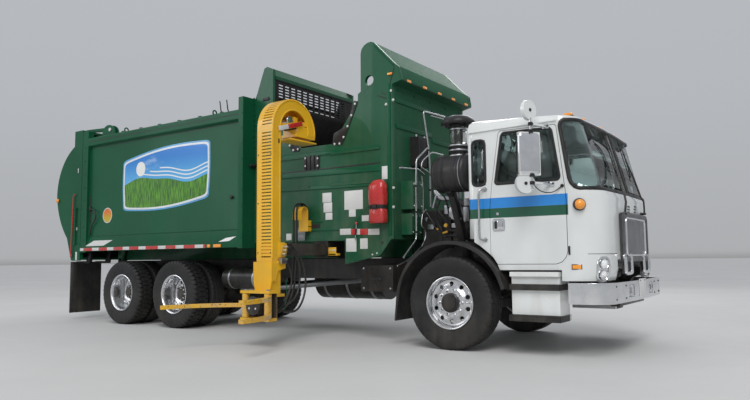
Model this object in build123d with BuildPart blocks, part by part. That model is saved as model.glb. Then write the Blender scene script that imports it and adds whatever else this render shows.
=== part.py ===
from build123d import *
import os
from math import sin, cos, tan, radians, hypot

# Cab-over refuse truck with a packing body and a side lifting arm.
# Millimetres. +X forward, +Y to the truck's left, +Z up.
# X = 0 at the front wheels' centre, Y = 0 on the centreline, Z = 0 on the ground.

os.makedirs("parts", exist_ok=True)

# ---------------------------------------------------------------- dimensions
HALF_W = 1219.0            # half of the body's width (96 in overall)

# running gear
AXLE_R1, AXLE_R2 = -4790.0, -6120.0     # rear axles
HUB_F, HUB_R = 529.0, 518.0             # loaded wheel radii, front and rear
KINGPIN_Y = 900.0
WHEEL_F_Y, TYRE_F_W = 1063.0, 312.0
DUAL_OUT_Y, DUAL_IN_Y, TYRE_R_W = 1079.0, 749.0, 280.0
RAIL_OUT, RAIL_IN, RAIL_T = 432.0, 347.0, 10.0
RAIL_Z0, RAIL_Z1 = 760.0, 1040.0
RAIL_REAR, RAIL_FRONT = -7150.0, 1450.0
FENDER_R, FENDER_RI = 700.0, 658.0       # band over the front wheels
RUN_GAP = 0.05                           # radial clearance at pins and shafts

# cab
CAB_HW = 1140.0
CAB_REAR, CAB_SIDE_FRONT, CAB_NOSE = 250.0, 1380.0, 1700.0
CAB_BELT, CAB_EAVE, CAB_TOP = 1730.0, 2490.0, 2585.0
CAB_WALL = 50.0
SHOULDER = 35.0                             # the front panel stands this much proud of the windscreen's sill
CAB_PIVOT = (1660.0, 860.0)              # X, Z of the tilt axis
DOOR_X0, DOOR_X1, DOOR_Z0, DOOR_Z1 = 500.0, 1365.0, 964.0, 2425.0
DOOR_GAP = 6.0

# body and hopper
BODY_REAR, BODY_FRONT = -7338.0, -3290.0
BODY_Z0, LEDGE_Z, RAILLOW_Z, ROOF_Z = 1214.0, 1461.0, 3070.0, 3225.0
FLOOR_Z0, FLOOR_Z1 = 1276.0, 1330.0
SHEET_Y, BODY_IN_Y = 1165.0, 1110.0
HOP_Y, HOP_IN_Y = 980.0, 930.0
HOP_FRONT = -880.0
BED_PIVOT = (-7200.0, 1050.0)            # X, Z of the tipping axis
HOIST_BASE = (-5200.0, 800.0)
HOIST_EYE = (-3600.0, 1150.0)

# tailgate
GATE_FRONT = -7345.0
GATE_PIVOT = (-6700.0, 3335.0)

# arm
MAST_X0, MAST_X1 = -2178.0, -1923.0
MAST_XC = (MAST_X0 + MAST_X1) / 2
MAST_Y0 = -2050.0                        # outboard face as it stands
MAST_R, MAST_RI = 405.0, 255.0           # outer and inner radius of the hook
MAST_CY, MAST_CZ = MAST_Y0 + MAST_R, 2655.0
MAST_Z0 = 620.0
BOOM_X0, BOOM_X1, BOOM_Z0, BOOM_Z1 = -2140.0, -1960.0, 1085.0, 1235.0
GRIP_Y = -2170.0
GRIP_XF, GRIP_XR = -1870.0, -2230.0

# guide over which the arm's hoses run: centre and outer radius in Y, Z, and the height where the hoses start
GUIDE_CY, GUIDE_CZ, GUIDE_R = -1115.0, 1672.0, 70.0
HOSE_Z0 = 1468.0

SIDES = ((-1, "right"), (1, "left"))


# ---------------------------------------------------------------- small helpers
def block(x0, x1, y0, y1, z0, z1, mode=Mode.ADD):
    """a box between two corners"""
    with Locations(((x0 + x1) / 2, (y0 + y1) / 2, (z0 + z1) / 2)):
        Box(abs(x1 - x0), abs(y1 - y0), abs(z1 - z0), mode=mode)


def rod(x, y, z, r, length, axis="Z", mode=Mode.ADD):
    """a cylinder centred on a point, along a row axis"""
    turn = {"X": (0, 90, 0), "Y": (90, 0, 0), "Z": (0, 0, 0)}[axis]
    with Locations(Location((x, y, z), turn)):
        Cylinder(r, length, mode=mode)


def plate_xz(points, y0, y1, mode=Mode.ADD):
    """a polygon in X, Z extruded from y0 to y1"""
    with BuildSketch(Plane.XZ.offset(-max(y0, y1))) as outline:
        with BuildLine():
            Polyline(*points, close=True)
        make_face()
    extrude(outline.sketch, amount=abs(y1 - y0), mode=mode)


def plate_yz(points, x0, x1, mode=Mode.ADD):
    """a polygon in Y, Z extruded from x0 to x1"""
    with BuildSketch(Plane.YZ.offset(min(x0, x1))) as outline:
        with BuildLine():
            Polyline(*points, close=True)
        make_face()
    extrude(outline.sketch, amount=abs(x1 - x0), mode=mode)


def plate_xy(points, z0, z1, mode=Mode.ADD):
    """a polygon in X, Y extruded from z0 to z1"""
    with BuildSketch(Plane.XY.offset(min(z0, z1))) as outline:
        with BuildLine():
            Polyline(*points, close=True)
        make_face()
    extrude(outline.sketch, amount=abs(z1 - z0), mode=mode)


def save(part, name):
    part.label = name
    export_step(part, "parts/%s.step" % name)


# ================================================================ chassis
with BuildPart() as frame_rails:
    for side, _ in SIDES:
        web = [(side * RAIL_OUT, RAIL_Z0), (side * RAIL_OUT, RAIL_Z1), (side * RAIL_IN, RAIL_Z1),
               (side * RAIL_IN, RAIL_Z1 - RAIL_T), (side * (RAIL_OUT - RAIL_T), RAIL_Z1 - RAIL_T),
               (side * (RAIL_OUT - RAIL_T), RAIL_Z0 + RAIL_T), (side * RAIL_IN, RAIL_Z0 + RAIL_T),
               (side * RAIL_IN, RAIL_Z0)]
        plate_yz(web, RAIL_REAR, RAIL_FRONT)
        # tipping hinge bracket with its pin, at the rail's tail
        plate_xz([(-7270, 1000), (-7240, 1092), (-7160, 1092), (-7050, 1020), (-7050, 860), (-7150, 860)],
                 side * RAIL_OUT, side * (RAIL_OUT + 30))
        rod(BED_PIVOT[0], side * 495, BED_PIVOT[1], 30, 66, "Y")
        # cab tilt bracket, forward of the rail
        plate_xz([(1380, 640), (1380, 880), (1450, 880), (1600, 905), (1692, 905), (1700, 860), (1692, 820),
                  (1600, 780), (1520, 640)], side * RAIL_OUT, side * (RAIL_OUT + 98))
        rod(CAB_PIVOT[0], side * 565, CAB_PIVOT[1], 20, 70, "Y")
        # bumper horn with a towing eye
        plate_xz([(1300, 600), (1300, 740), (1730, 740), (1730, 600)], side * 380, side * 420)
        plate_xz([(1300, 600), (1300, 765), (1450, 765), (1450, 600)], side * 380, side * 431)
    # columns of the table: X centre, length, lowest z, highest z
    CROSSMEMBERS = ((1400, 90, 780, 1020), (-1750, 80, 880, 1020), (-3000, 80, 780, 1020),
                    (-3700, 80, 780, 900), (-5455, 120, 780, 860), (-7110, 80, 770, 1030))
    for xc, length, z0, z1 in CROSSMEMBERS:
        block(xc - length / 2, xc + length / 2, -RAIL_OUT + 2, RAIL_OUT - 2, z0, z1)
    # hoist foot on its crossmember
    block(-5330, -5265, -RAIL_OUT + 2, RAIL_OUT - 2, 780, 860)
    for y0, y1 in ((-75, -46), (46, 75)):
        plate_xz([(-5300, 780), (-5300, 850), (-5230, 850), (-5160, 845), (-5150, 780), (-5160, 740), (-5240, 740)],
                 y0, y1)
    rod(HOIST_BASE[0], 0, HOIST_BASE[1], 25, 150, "Y")
save(frame_rails.part, "frame_rails")

with BuildPart() as bumper:
    # wrapped band: wings back to the steps, front face gently bowed
    with BuildSketch(Plane.XY.offset(555)) as band:
        with BuildLine():
            Polyline((1370, -1215), (1480, -1215))
            ThreePointArc((1480, -1215), (1680, -1165), (1782, -1020))
            ThreePointArc((1782, -1020), (1812, 0), (1782, 1020))
            ThreePointArc((1782, 1020), (1680, 1165), (1480, 1215))
            Polyline((1480, 1215), (1370, 1215), (1370, 1191), (1478, 1191))
            ThreePointArc((1478, 1191), (1660, 1148), (1758, 1010))
            ThreePointArc((1758, 1010), (1788, 0), (1758, -1010))
            ThreePointArc((1758, -1010), (1660, -1148), (1478, -1191))
            Polyline((1478, -1191), (1370, -1191), (1370, -1215))
        make_face()
    extrude(amount=215)
    for side, _ in SIDES:
        # recessed pocket with its towing bore
        block(1748, 1790, side * 300, side * 590, 590, 745)
        block(1776, 1830, side * 320, side * 575, 605, 735, Mode.SUBTRACT)
        block(1730, 1776, side * 380, side * 420, 600, 740)
        rod(1760, side * 500, 668, 22, 80, "X", Mode.SUBTRACT)
save(bumper.part, "bumper")

with BuildPart() as front_axle:
    # dropped beam between the kingpins
    plate_yz([(-860, 470), (-860, 590), (-800, 590), (-700, 500), (700, 500), (800, 590), (860, 590),
              (860, 470), (800, 470), (690, 390), (-690, 390), (-800, 470)], -45, 45)
    for side, _ in SIDES:
        rod(0, side * KINGPIN_Y, HUB_F, 50, 120, "Z")
        block(-45, 45, side * 800, side * 870, 475, 583)
        # leaf spring pack on its seat, shackled to the rail
        plate_xz([(-760, 690), (-400, 590), (-90, 530), (-90, 500), (90, 500), (90, 530), (400, 590), (760, 690),
                  (760, 720), (400, 640), (90, 590), (-90, 590), (-400, 640), (-760, 720)],
                 side * 450, side * 525)
        for x in (-790, 790):
            plate_xz([(x - 50, 660), (x - 50, 900), (x + 50, 900), (x + 50, 660)],
                     side * RAIL_OUT, side * 530)
    for side, _ in SIDES:
        rod(0, side * KINGPIN_Y, HUB_F, 25 + RUN_GAP, 140, "Z", Mode.SUBTRACT)
save(front_axle.part, "front_axle")

with BuildPart() as rear_axles:
    for xc in (AXLE_R1, AXLE_R2):
        rod(xc, 0, HUB_R, 70, 1240, "Y")
        rod(xc, 0, HUB_R, 50, 2010, "Y")
        with Locations((xc, 0, HUB_R)):
            Sphere(180)
        rod(xc + 170, 0, HUB_R + 20, 75, 160, "X")
    for side, _ in SIDES:
        # walking beam under the axles, hung from a saddle on the rail
        plate_xz([(AXLE_R1 + 90, 400), (AXLE_R1 + 90, 620), (AXLE_R1 - 120, 620), (-5455, 700), (AXLE_R2 + 120, 620),
                  (AXLE_R2 - 90, 620), (AXLE_R2 - 90, 400), (-5455, 480)], side * 480, side * 570)
        plate_xz([(-5555, 640), (-5620, 980), (-5290, 980), (-5355, 640)], side * RAIL_OUT, side * 500)
save(rear_axles.part, "rear_axles")

with BuildPart() as engine_block:
    block(-850, 600, -330, 330, 700, 1660)
    block(-1500, -850, -220, 220, 640, 1000)
save(engine_block.part, "engine_block")

with BuildPart() as driveshaft:
    with BuildSketch(Plane.YZ.offset(-1502)):
        with Locations((0, 790)):
            Circle(55)
    with BuildSketch(Plane.YZ.offset(AXLE_R1 + 252)):
        with Locations((0, 538)):
            Circle(55)
    loft(ruled=True)
    # joint yokes at the ends and the inter-axle shaft
    rod(-1540, 0, 786, 80, 70, "X")
    rod(AXLE_R1 + 290, 0, 540, 80, 70, "X")
save(driveshaft.part, "driveshaft")

with BuildPart() as radiator:
    block(1100, 1290, -335, 335, 620, 1440)
    for y0 in (-345, 305):
        block(1150, 1240, y0, y0 + 40, 620, 750)
save(radiator.part, "radiator")

with BuildPart() as front_fenders:
    for side, _ in SIDES:
        with BuildSketch(Plane.XZ.offset(-max(side * 1228, side * 790))) as arch:
            with BuildLine():
                # outer edge, then inner edge of the band, from front to back
                a0, a1 = radians(14), radians(172)
                ThreePointArc((FENDER_R * cos(a0), HUB_F + FENDER_R * sin(a0)), (0, HUB_F + FENDER_R),
                              (FENDER_R * cos(a1), HUB_F + FENDER_R * sin(a1)))
                Polyline((FENDER_R * cos(a1), HUB_F + FENDER_R * sin(a1)), (-725, 300), (-705, 300),
                         (FENDER_RI * cos(a1), HUB_F + FENDER_RI * sin(a1)))
                ThreePointArc((FENDER_RI * cos(a1), HUB_F + FENDER_RI * sin(a1)), (0, HUB_F + FENDER_RI),
                              (FENDER_RI * cos(a0), HUB_F + FENDER_RI * sin(a0)))
                Polyline((FENDER_RI * cos(a0), HUB_F + FENDER_RI * sin(a0)), (FENDER_R * cos(a0), HUB_F + FENDER_R * sin(a0)))
            make_face()
        extrude(arch.sketch, amount=438)
        # stay from the rail to the back of the arch
        block(-740, -690, side * RAIL_OUT, side * 800, 800, 860)
save(front_fenders.part, "front_fenders")

with BuildPart() as step_boxes:
    for side, _ in SIDES:
        block(740, 1265, side * 860, side * 1165, 385, 875)
        block(735, 1270, side * 860, side * 1205, 830, 880)
        block(735, 1275, side * 860, side * 1210, 690, 745)
        block(725, 1280, side * 860, side * 1215, 365, 425)
        block(850, 1150, side * RAIL_OUT, side * 860, 770, 850)
save(step_boxes.part, "step_boxes")

with BuildPart() as chassis_tanks:
    rod(-2750, 800, 690, 290, 1300, "X")
    for x0 in (-3200, -2400):
        block(x0, x0 + 80, RAIL_OUT, 800, 770, 900)
    rod(-3700, -700, 760, 160, 800, "X")
    for x0 in (-4000, -3480):
        block(x0, x0 + 60, -700, -RAIL_OUT, 800, 900)
    block(-1420, -930, -930, -470, 620, 950)
    block(-1300, -1050, -470, -RAIL_OUT, 800, 930)
save(chassis_tanks.part, "chassis_tanks")

with BuildPart() as air_cleaner:
    AC_X, AC_Y = 20.0, -930.0
    # weather cap, clear bowl, base, then the canister lying fore and aft
    with BuildSketch(Plane.XY.offset(2610)):
        with Locations((AC_X, AC_Y)):
            Circle(205)
    with BuildSketch(Plane.XY.offset(2720)):
        with Locations((AC_X, AC_Y)):
            Circle(95)
    loft()
    rod(AC_X, AC_Y, 2600, 205, 25, "Z")
    rod(AC_X, AC_Y, 2460, 105, 300, "Z")
    rod(AC_X, AC_Y, 2300, 130, 120, "Z")
    rod(-40, AC_Y, 2030, 225, 480, "X")
    rod(AC_X, AC_Y, 2230, 125, 120, "Z")
    # outlet to the engine, and the stand from the rail
    rod(-60, -590, 1950, 75, 560, "Y")
    plate_yz([(-RAIL_OUT, 960), (-RAIL_OUT, 1040), (-870, 1860), (-990, 1860), (-990, 1800), (-910, 1760),
              (-560, 1000), (-560, 960)], -140, -60)
save(air_cleaner.part, "air_cleaner")

# ================================================================ steering and wheels
for side, hand in SIDES:
    with BuildPart() as knuckle:
        for zc in (HUB_F + 85, HUB_F - 85):
            rod(0, side * KINGPIN_Y, zc, 50, 44, "Z")
            block(-50, 50, side * KINGPIN_Y, side * 972, zc - 22, zc + 22)
        rod(0, side * KINGPIN_Y, HUB_F, 25, 200, "Z")
        block(-75, 75, side * 957, side * 987, HUB_F - 107, HUB_F + 107)
        rod(0, side * 1050, HUB_F, 35, 130, "Y")
        # steering arm reaching back inside the wheel
        plate_xy([(-50, side * 870), (-230, side * 790), (-230, side * 840), (-50, side * 930)],
                 HUB_F - 105, HUB_F - 75)
    save(knuckle.part, "knuckle_" + hand)


def tyre_ring(yc, half_w, r_out, hub_z, xc):
    """a tyre's ring about an axis along Y"""
    with BuildSketch(Plane(origin=(xc, yc, hub_z), x_dir=(1, 0, 0), z_dir=(0, 0, 1))) as section:
        with BuildLine():
            # columns: radius, half width there, over the section's outline
            side_a = [(286, 0.75), (302, 0.75), (330, 0.93), (400, 1.0), (455, 1.0), (505, 0.92), (r_out, 0.74)]
            pts = [(r, k * half_w) for r, k in side_a]
            Polyline(*pts, *[(r, -w) for r, w in reversed(pts)], close=True)
        make_face()
    revolve(section.sketch, axis=Axis((xc, yc, hub_z), (0, 1, 0)))


def rim_ring(points, xc, yc, hub_z):
    """a solid of revolution about the wheel's axis, from radius and offset pairs"""
    with BuildSketch(Plane(origin=(xc, yc, hub_z), x_dir=(1, 0, 0), z_dir=(0, 0, 1))) as section:
        with BuildLine():
            Polyline(*points, close=True)
        make_face()
    revolve(section.sketch, axis=Axis((xc, yc, hub_z), (0, 1, 0)))


for side, hand in SIDES:
    yc = side * WHEEL_F_Y
    with BuildPart() as tyre:
        tyre_ring(yc, TYRE_F_W / 2, HUB_F, HUB_F, 0)
    save(tyre.part, "tyre_front_" + hand)
    with BuildPart() as rim:
        # barrel, lips and dished disc, outboard positive before the side is applied
        prof = [(262, -122), (272, -142), (298, -142), (298, -122), (286, -119), (286, 119), (298, 122), (298, 142),
                (276, 142), (264, 118), (250, 78), (150, 62), (150, 46), (250, 58), (262, 70)]
        rim_ring([(r, side * w) for r, w in prof], 0, yc, HUB_F)
        # hub and brake drum
        drum = [(36, -60), (100, -60), (110, 0), (190, 0), (190, -98), (205, -98), (205, 20), (150, 46), (150, 62),
                (105, 70), (100, 100), (60, 112), (0, 112), (0, 66), (36, 66)]
        rim_ring([(r, side * w) for r, w in drum], 0, yc, HUB_F)
        rod(0, yc + side * (-62), HUB_F, 35 + RUN_GAP, 260, "Y", Mode.SUBTRACT)
    save(rim.part, "rim_front_" + hand)

for xc, where in ((AXLE_R1, "rear1_"), (AXLE_R2, "rear2_")):
    for side, hand in SIDES:
        with BuildPart() as tyre:
            tyre_ring(side * DUAL_OUT_Y, TYRE_R_W / 2, HUB_R, HUB_R, xc)
            tyre_ring(side * DUAL_IN_Y, TYRE_R_W / 2, HUB_R, HUB_R, xc)
        save(tyre.part, "tyres_" + where + hand)
        with BuildPart() as rim:
            # columns: radius, distance from the centreline; both rims, their joined discs, hub and drum
            pair = [(268, 617), (298, 617), (298, 632), (286, 640), (286, 858), (298, 868), (298, 880), (270, 885),
                    (250, 904), (250, 924), (270, 943), (298, 948), (298, 960), (286, 970), (286, 1188), (298, 1196),
                    (298, 1211), (274, 1211), (262, 1190), (262, 960), (240, 930), (150, 926), (140, 1010),
                    (115, 1060), (110, 1075), (60, 1085), (0, 1085), (0, 1012), (52, 1012), (52, 700), (100, 700),
                    (110, 800), (185, 800), (185, 650), (205, 650), (205, 840), (150, 902), (240, 898), (262, 870),
                    (262, 640)]
            rim_ring([(r, side * w) for r, w in pair], xc, 0, HUB_R)
            rod(xc, side * 800, HUB_R, 50 + RUN_GAP, 420, "Y", Mode.SUBTRACT)
        save(rim.part, "rims_" + where + hand)

# ================================================================ cab


def cab_outline(inset, nose, side_end, side_inset=0.0):
    """plan of the cab: straight sides, rounded corners, gently bowed front"""
    w, r = CAB_HW - inset - side_inset, CAB_REAR + inset + side_inset * 0.3
    x1, x2, x3 = side_end, nose - inset - 25, nose - inset
    y2 = 850 - inset * 0.6 - side_inset
    xm, ym = x1 + (x2 - x1) * 0.70, w - (w - y2) * 0.29
    with BuildLine() as half:
        Polyline((r, w), (x1, w))
        ThreePointArc((x1, w), (xm, ym), (x2, y2))
        ThreePointArc((x2, y2), (x3, 0), (x2, -y2))
        ThreePointArc((x2, -y2), (xm, -ym), (x1, -w))
        Polyline((x1, -w), (r, -w), (r, w))
    return half.line


def cab_hull(inset, z_low, z_high, z_top):
    """closed cab volume: upright to the shoulder, leaning back above the belt, rounded over to the roof"""
    with BuildPart() as hull:
        # columns: height, nose, end of the straight side, extra inset at the sides
        levels = [(z_low, CAB_NOSE + (5 if z_low < 900 else SHOULDER), 1370, 0)]
        if z_low < 900:
            levels.append((900, CAB_NOSE + SHOULDER, 1370, 0))
        levels += [(1660, CAB_NOSE + SHOULDER, 1370, 0), (CAB_BELT, CAB_NOSE, 1370, 0),
                   (z_high, CAB_NOSE - 203, 1296, 0),
                   (z_high + (z_top - z_high) * 0.62, CAB_NOSE - 240, 1265, 22), (z_top, CAB_NOSE - 330, 1190, 78)]
        for (za, na, ea, sa), (zb, nb, eb, sb) in zip(levels[:-1], levels[1:]):
            with BuildSketch(Plane.XY.offset(za)) as low:
                add(cab_outline(inset, na, ea, sa))
                make_face()
            with BuildSketch(Plane.XY.offset(zb)) as high:
                add(cab_outline(inset, nb, eb, sb))
                make_face()
            loft([low.sketch, high.sketch], ruled=True)
    return hull.part



def under_slope(hull, z_rear, z_front):
    """the roof falls gently towards the front"""
    with BuildPart() as trimmed:
        add(hull)
        plate_xz([(150, z_rear), (1750, z_front), (1750, 2800), (150, 2800)], -1300, 1300, Mode.SUBTRACT)
    return trimmed.part


cab_outer = under_slope(cab_hull(0, 785, CAB_EAVE, CAB_TOP), 2600, 2494)
cab_inner = under_slope(cab_hull(CAB_WALL, 700, CAB_EAVE - 10, CAB_TOP - CAB_WALL), 2555, 2449)
cab_shell = cab_outer - cab_inner
glass_outer = cab_hull(16, 1500, CAB_EAVE, CAB_TOP - 6)
glass_inner = cab_hull(24, 1400, CAB_EAVE - 1, CAB_TOP - 14)
glass_skin = glass_outer - glass_inner

# the wrapped windscreen's edge, seen from the side, and the half width of the post between its two panes
WINDSCREEN = [(1314, 2400), (1322, 2444), (1352, 2470), (2000, 2470), (2000, 1738), (1500, 1738), (1450, 1756),
              (1412, 1800), (1394, 1850)]
POST = 22.0
QW = (290.0, 455.0, 1838.0, 2350.0)                            # quarter window: x0, x1, z0, z1
DOOR_EDGE = [(575, 964), (500, 1078), (500, 1560), (529, 1826), (620, 2395), (640, DOOR_Z1), (1255, DOOR_Z1),
             (1272, 2405), (1348, 1700), (1352, 1640), (1352, 1090), (1335, 1035), (1290, 985), (1230, 964)]
DOOR_PANE = [(572, 1862), (655, 2372), (678, 2402), (1200, 2396), (1222, 2370), (1294, 1872), (1276, 1842), (590, 1842)]
SPLIT_X = 1240.0                                               # joint between the side and front panels
EDGE_Z = 2452.0                                                # joint between the walls and the roof
UNDER_EDGE = [(200, 700), (200, 1246), (250, 1236), (370, 1165), (500, 1060), (560, 990), (600, 897), (1285, 897),
              (1285, 700)]


def windscreen_cut(mode=Mode.SUBTRACT):
    for side, _ in SIDES:
        plate_xz(WINDSCREEN, side * POST, side * 1300, mode)


def door_cut():
    """the doorway on both sides, wider than the door by the gap"""
    for y0, y1 in ((-1300, -1000), (1000, 1300)):
        with BuildSketch(Plane.XZ.offset(-y1)) as doorway:
            with BuildLine():
                Polyline(*DOOR_EDGE, close=True)
            make_face()
            offset(amount=DOOR_GAP, kind=Kind.INTERSECTION)
        extrude(doorway.sketch, amount=y1 - y0, mode=Mode.SUBTRACT)


with BuildPart() as cab_front:
    add(cab_shell)
    block(SPLIT_X, 2000, -1300, 1300, 700, EDGE_Z, Mode.INTERSECT)
    windscreen_cut()
    door_cut()
    for y0, y1 in ((-1300, -1000), (1000, 1300)):
        plate_xz(UNDER_EDGE, y0, y1, Mode.SUBTRACT)
    # grille opening with the open mouth under it
    block(1600, 2000, -540, 540, 1000, 1490, Mode.SUBTRACT)
    block(1560, 2000, -640, 640, 700, 1000, Mode.SUBTRACT)
save(cab_front.part, "cab_front")

with BuildPart() as cab_sides:
    add(cab_shell)
    block(300, SPLIT_X, -1300, 1300, 700, EDGE_Z, Mode.INTERSECT)
    block(299, 1400, -1089, 1089, 600, 2600, Mode.SUBTRACT)
    door_cut()
    for y0, y1 in ((-1300, -1000), (1000, 1300)):
        block(299, QW[1], y0, y1, QW[2], QW[3], Mode.SUBTRACT)
        plate_xz(UNDER_EDGE, y0, y1, Mode.SUBTRACT)
save(cab_sides.part, "cab_sides")

with BuildPart() as cab_roof:
    add(cab_shell)
    block(100, 2000, -1300, 1300, EDGE_Z, 2700, Mode.INTERSECT)
    windscreen_cut()
save(cab_roof.part, "cab_roof")

with BuildPart() as rear_wall_piece:
    add(cab_shell)
    block(200, 300, -1300, 1300, 1246, EDGE_Z, Mode.INTERSECT)
    block(200, 320, -452, 452, 1000, 1762, Mode.SUBTRACT)
    for y0, y1 in ((-1142, -1088), (1088, 1142)):
        block(QW[0], 320, y0, y1, QW[2], QW[3], Mode.SUBTRACT)
rear_wall = rear_wall_piece.part

with BuildPart() as cab_floor:
    for side, _ in SIDES:
        # seat riser over the wheel, then the foot well
        plate_xz([(300, 1250), (300, 1300), (780, 1300), (780, 1010), (1600, 1010), (1600, 970), (740, 970),
                  (740, 1250)], side * 490, side * 1090)
        # tilt ear under the foot well
        plate_xz([(1420, 972), (1570, 972), (1640, 930), (1700, 870), (1690, 825), (1640, 820), (1560, 860)],
                 side * 540, side * 590)
        # walls of the tunnel over the engine
        plate_xz([(300, 1250), (300, 1800), (800, 1800), (1100, 1540), (1570, 1540), (1570, 970), (740, 970),
                  (740, 1250)], side * 452, side * 492)
    plate_xz([(300, 1760), (300, 1800), (800, 1800), (1100, 1540), (1570, 1540), (1570, 1500), (1080, 1500),
              (785, 1760)], -460, 460)
    add(cab_inner, mode=Mode.INTERSECT)
    # rear wall with its opening over the engine
    add(rear_wall)
    for side, _ in SIDES:
        rod(CAB_PIVOT[0], side * 565, CAB_PIVOT[1], 20 + RUN_GAP, 80, "Y", Mode.SUBTRACT)
save(cab_floor.part, "cab_floor")

with BuildPart() as cab_glass:
    add(glass_skin)
    plate_xz([(1316, 2399), (1324, 2442), (1353, 2468), (2000, 2468), (2000, 1740), (1501, 1740), (1451, 1758),
              (1414, 1801), (1396, 1851)], -1300, 1300, Mode.INTERSECT)
    block(1300, 2000, -POST - 1, POST + 1, 1500, 2600, Mode.SUBTRACT)
    for side, _ in SIDES:
        block(QW[0] + 1, QW[1] - 1, side * 1110, side * 1118, QW[2] + 1, QW[3] - 1)
save(cab_glass.part, "cab_glass")

with BuildPart() as grille:
    block(1678, 1760, -535, 535, 1004, 1486)
    block(1600, 1732, -500, 500, 1040, 1450, Mode.SUBTRACT)
save(grille.part, "grille")

with BuildPart() as seats:
    for side, _ in SIDES:
        block(350, 800, side * 545, side * 1015, 1301, 1420)
        plate_xz([(330, 1421), (470, 1421), (400, 2060), (310, 2060)], side * 560, side * 1000)
        block(420, 780, side * 570, side * 990, 1420, 1445)
save(seats.part, "seats")

with BuildPart() as dashboard:
    plate_xz([(1300, 1560), (1300, 1690), (1590, 1715), (1600, 1560)], -1040, 1040)
    # steering column and wheel, on the left
    with BuildSketch(Plane(origin=(1320, 780, 1560), x_dir=(0, 1, 0), z_dir=(-0.6, 0, 0.8))):
        Circle(35)
    extrude(amount=210)
    with BuildSketch(Plane(origin=(1200, 780, 1720), x_dir=(0, 1, 0), z_dir=(-0.6, 0, 0.8))):
        Circle(225)
        Circle(190, mode=Mode.SUBTRACT)
        Rectangle(400, 50)
    extrude(amount=28)
    for y in (-700, 700):
        block(1540, 1575, y - 30, y + 30, 1010, 1560)
    add(cab_inner, mode=Mode.INTERSECT)
save(dashboard.part, "dashboard")

MIRROR_TURN = 42.0                                             # degrees that the mirror heads are turned inboard
for side, hand in SIDES:
    a, b = side * (CAB_HW - CAB_WALL), side * CAB_HW
    with BuildPart() as door:
        plate_xz(DOOR_EDGE, a, b)
        plate_xz(DOOR_PANE, min(a, b) - 10, max(a, b) + 10, Mode.SUBTRACT)
        # mirror post on two arms from the door
        for z, x0 in ((2418, 1150), (1800, 1190)):
            plate_xy([(x0, side * 1135), (x0 + 28, side * 1135), (1094, side * 1372), (1066, side * 1372)],
                     z - 12, z + 12)
        rod(1080, side * 1357, 2110, 12, 770, "Z")
        # flat main head, round lower head, round top head, all turned inboard
        with Locations(Location((1052, side * 1357, 2105), (0, 0, side * MIRROR_TURN))):
            Box(52, 236, 452)
        for x, y, z, r, turn in ((1015, 1392, 1795, 105, MIRROR_TURN), (1062, 1357, 2566, 106, 16.0)):
            with Locations(Location((x, side * y, z), (0, 0, side * turn))):
                with Locations(Location((0, 0, 0), (0, 90, 0))):
                    Cylinder(r, 44)
    save(door.part, "door_" + hand)
    with BuildPart() as pane:
        plate_xz([(574, 1863), (657, 2371), (679, 2400), (1199, 2394), (1220, 2369), (1292, 1873), (1275, 1844),
                  (591, 1844)], side * 1112, side * 1118)
    save(pane.part, "door_glass_" + hand)

# ================================================================ body and hopper
with BuildPart() as body_sides:
    for side, _ in SIDES:
        # pressed side: tape rail, sloped ledge, sheet, top rail
        section = [(HALF_W, BODY_Z0), (HALF_W, 1280), (SHEET_Y, LEDGE_Z), (SHEET_Y, RAILLOW_Z - 25),
                   (HALF_W, RAILLOW_Z + 10), (HALF_W, 3208), (1190, ROOF_Z), (BODY_IN_Y, ROOF_Z),
                   (BODY_IN_Y, BODY_Z0)]
        plate_yz([(side * y, z) for y, z in section], BODY_REAR, BODY_FRONT - 100)
        # rear and front posts
        block(BODY_REAR, BODY_REAR + 170, side * BODY_IN_Y, side * HALF_W, BODY_Z0 - 20, 3350)
        block(BODY_FRONT - 100, BODY_FRONT, side * HOP_IN_Y, side * HALF_W, 1200, 3400)
    block(BODY_FRONT - 100, BODY_FRONT, -HOP_IN_Y, HOP_IN_Y, 3250, 3400)
save(body_sides.part, "body_sides")

with BuildPart() as body_roof:
    with BuildSketch(Plane.YZ.offset(BODY_REAR)):
        with BuildLine():
            ThreePointArc((-1190, ROOF_Z), (0, ROOF_Z + 70), (1190, ROOF_Z))
            Polyline((1190, ROOF_Z), (1108, ROOF_Z))
            ThreePointArc((1108, ROOF_Z), (0, ROOF_Z + 20), (-1108, ROOF_Z))
            Polyline((-1108, ROOF_Z), (-1190, ROOF_Z))
        make_face()
    extrude(amount=BODY_FRONT - 100 - BODY_REAR)
    block(BODY_REAR, BODY_REAR + 170, -1300, -BODY_IN_Y, 3200, 3400, Mode.SUBTRACT)
    block(BODY_REAR, BODY_REAR + 170, BODY_IN_Y, 1300, 3200, 3400, Mode.SUBTRACT)
    for side, _ in SIDES:
        # hinge lugs, one plate each side of the tailgate's arm, with the pin between
        for y0, y1 in ((1004, 1030), (1078, 1104)):
            with BuildSketch(Plane.XZ.offset(-max(side * y0, side * y1))) as lug:
                with BuildLine():
                    Polyline((-6930, ROOF_Z + 5), (-6930, 3330))
                    ThreePointArc((-6930, 3330), (-6760, 3425), (-6590, 3330))
                    Polyline((-6590, 3330), (-6560, ROOF_Z + 5), (-6930, ROOF_Z + 5))
                make_face()
            extrude(lug.sketch, amount=26)
        rod(GATE_PIVOT[0], side * 1054, GATE_PIVOT[1], 20, 90, "Y")
save(body_roof.part, "body_roof")

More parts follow.
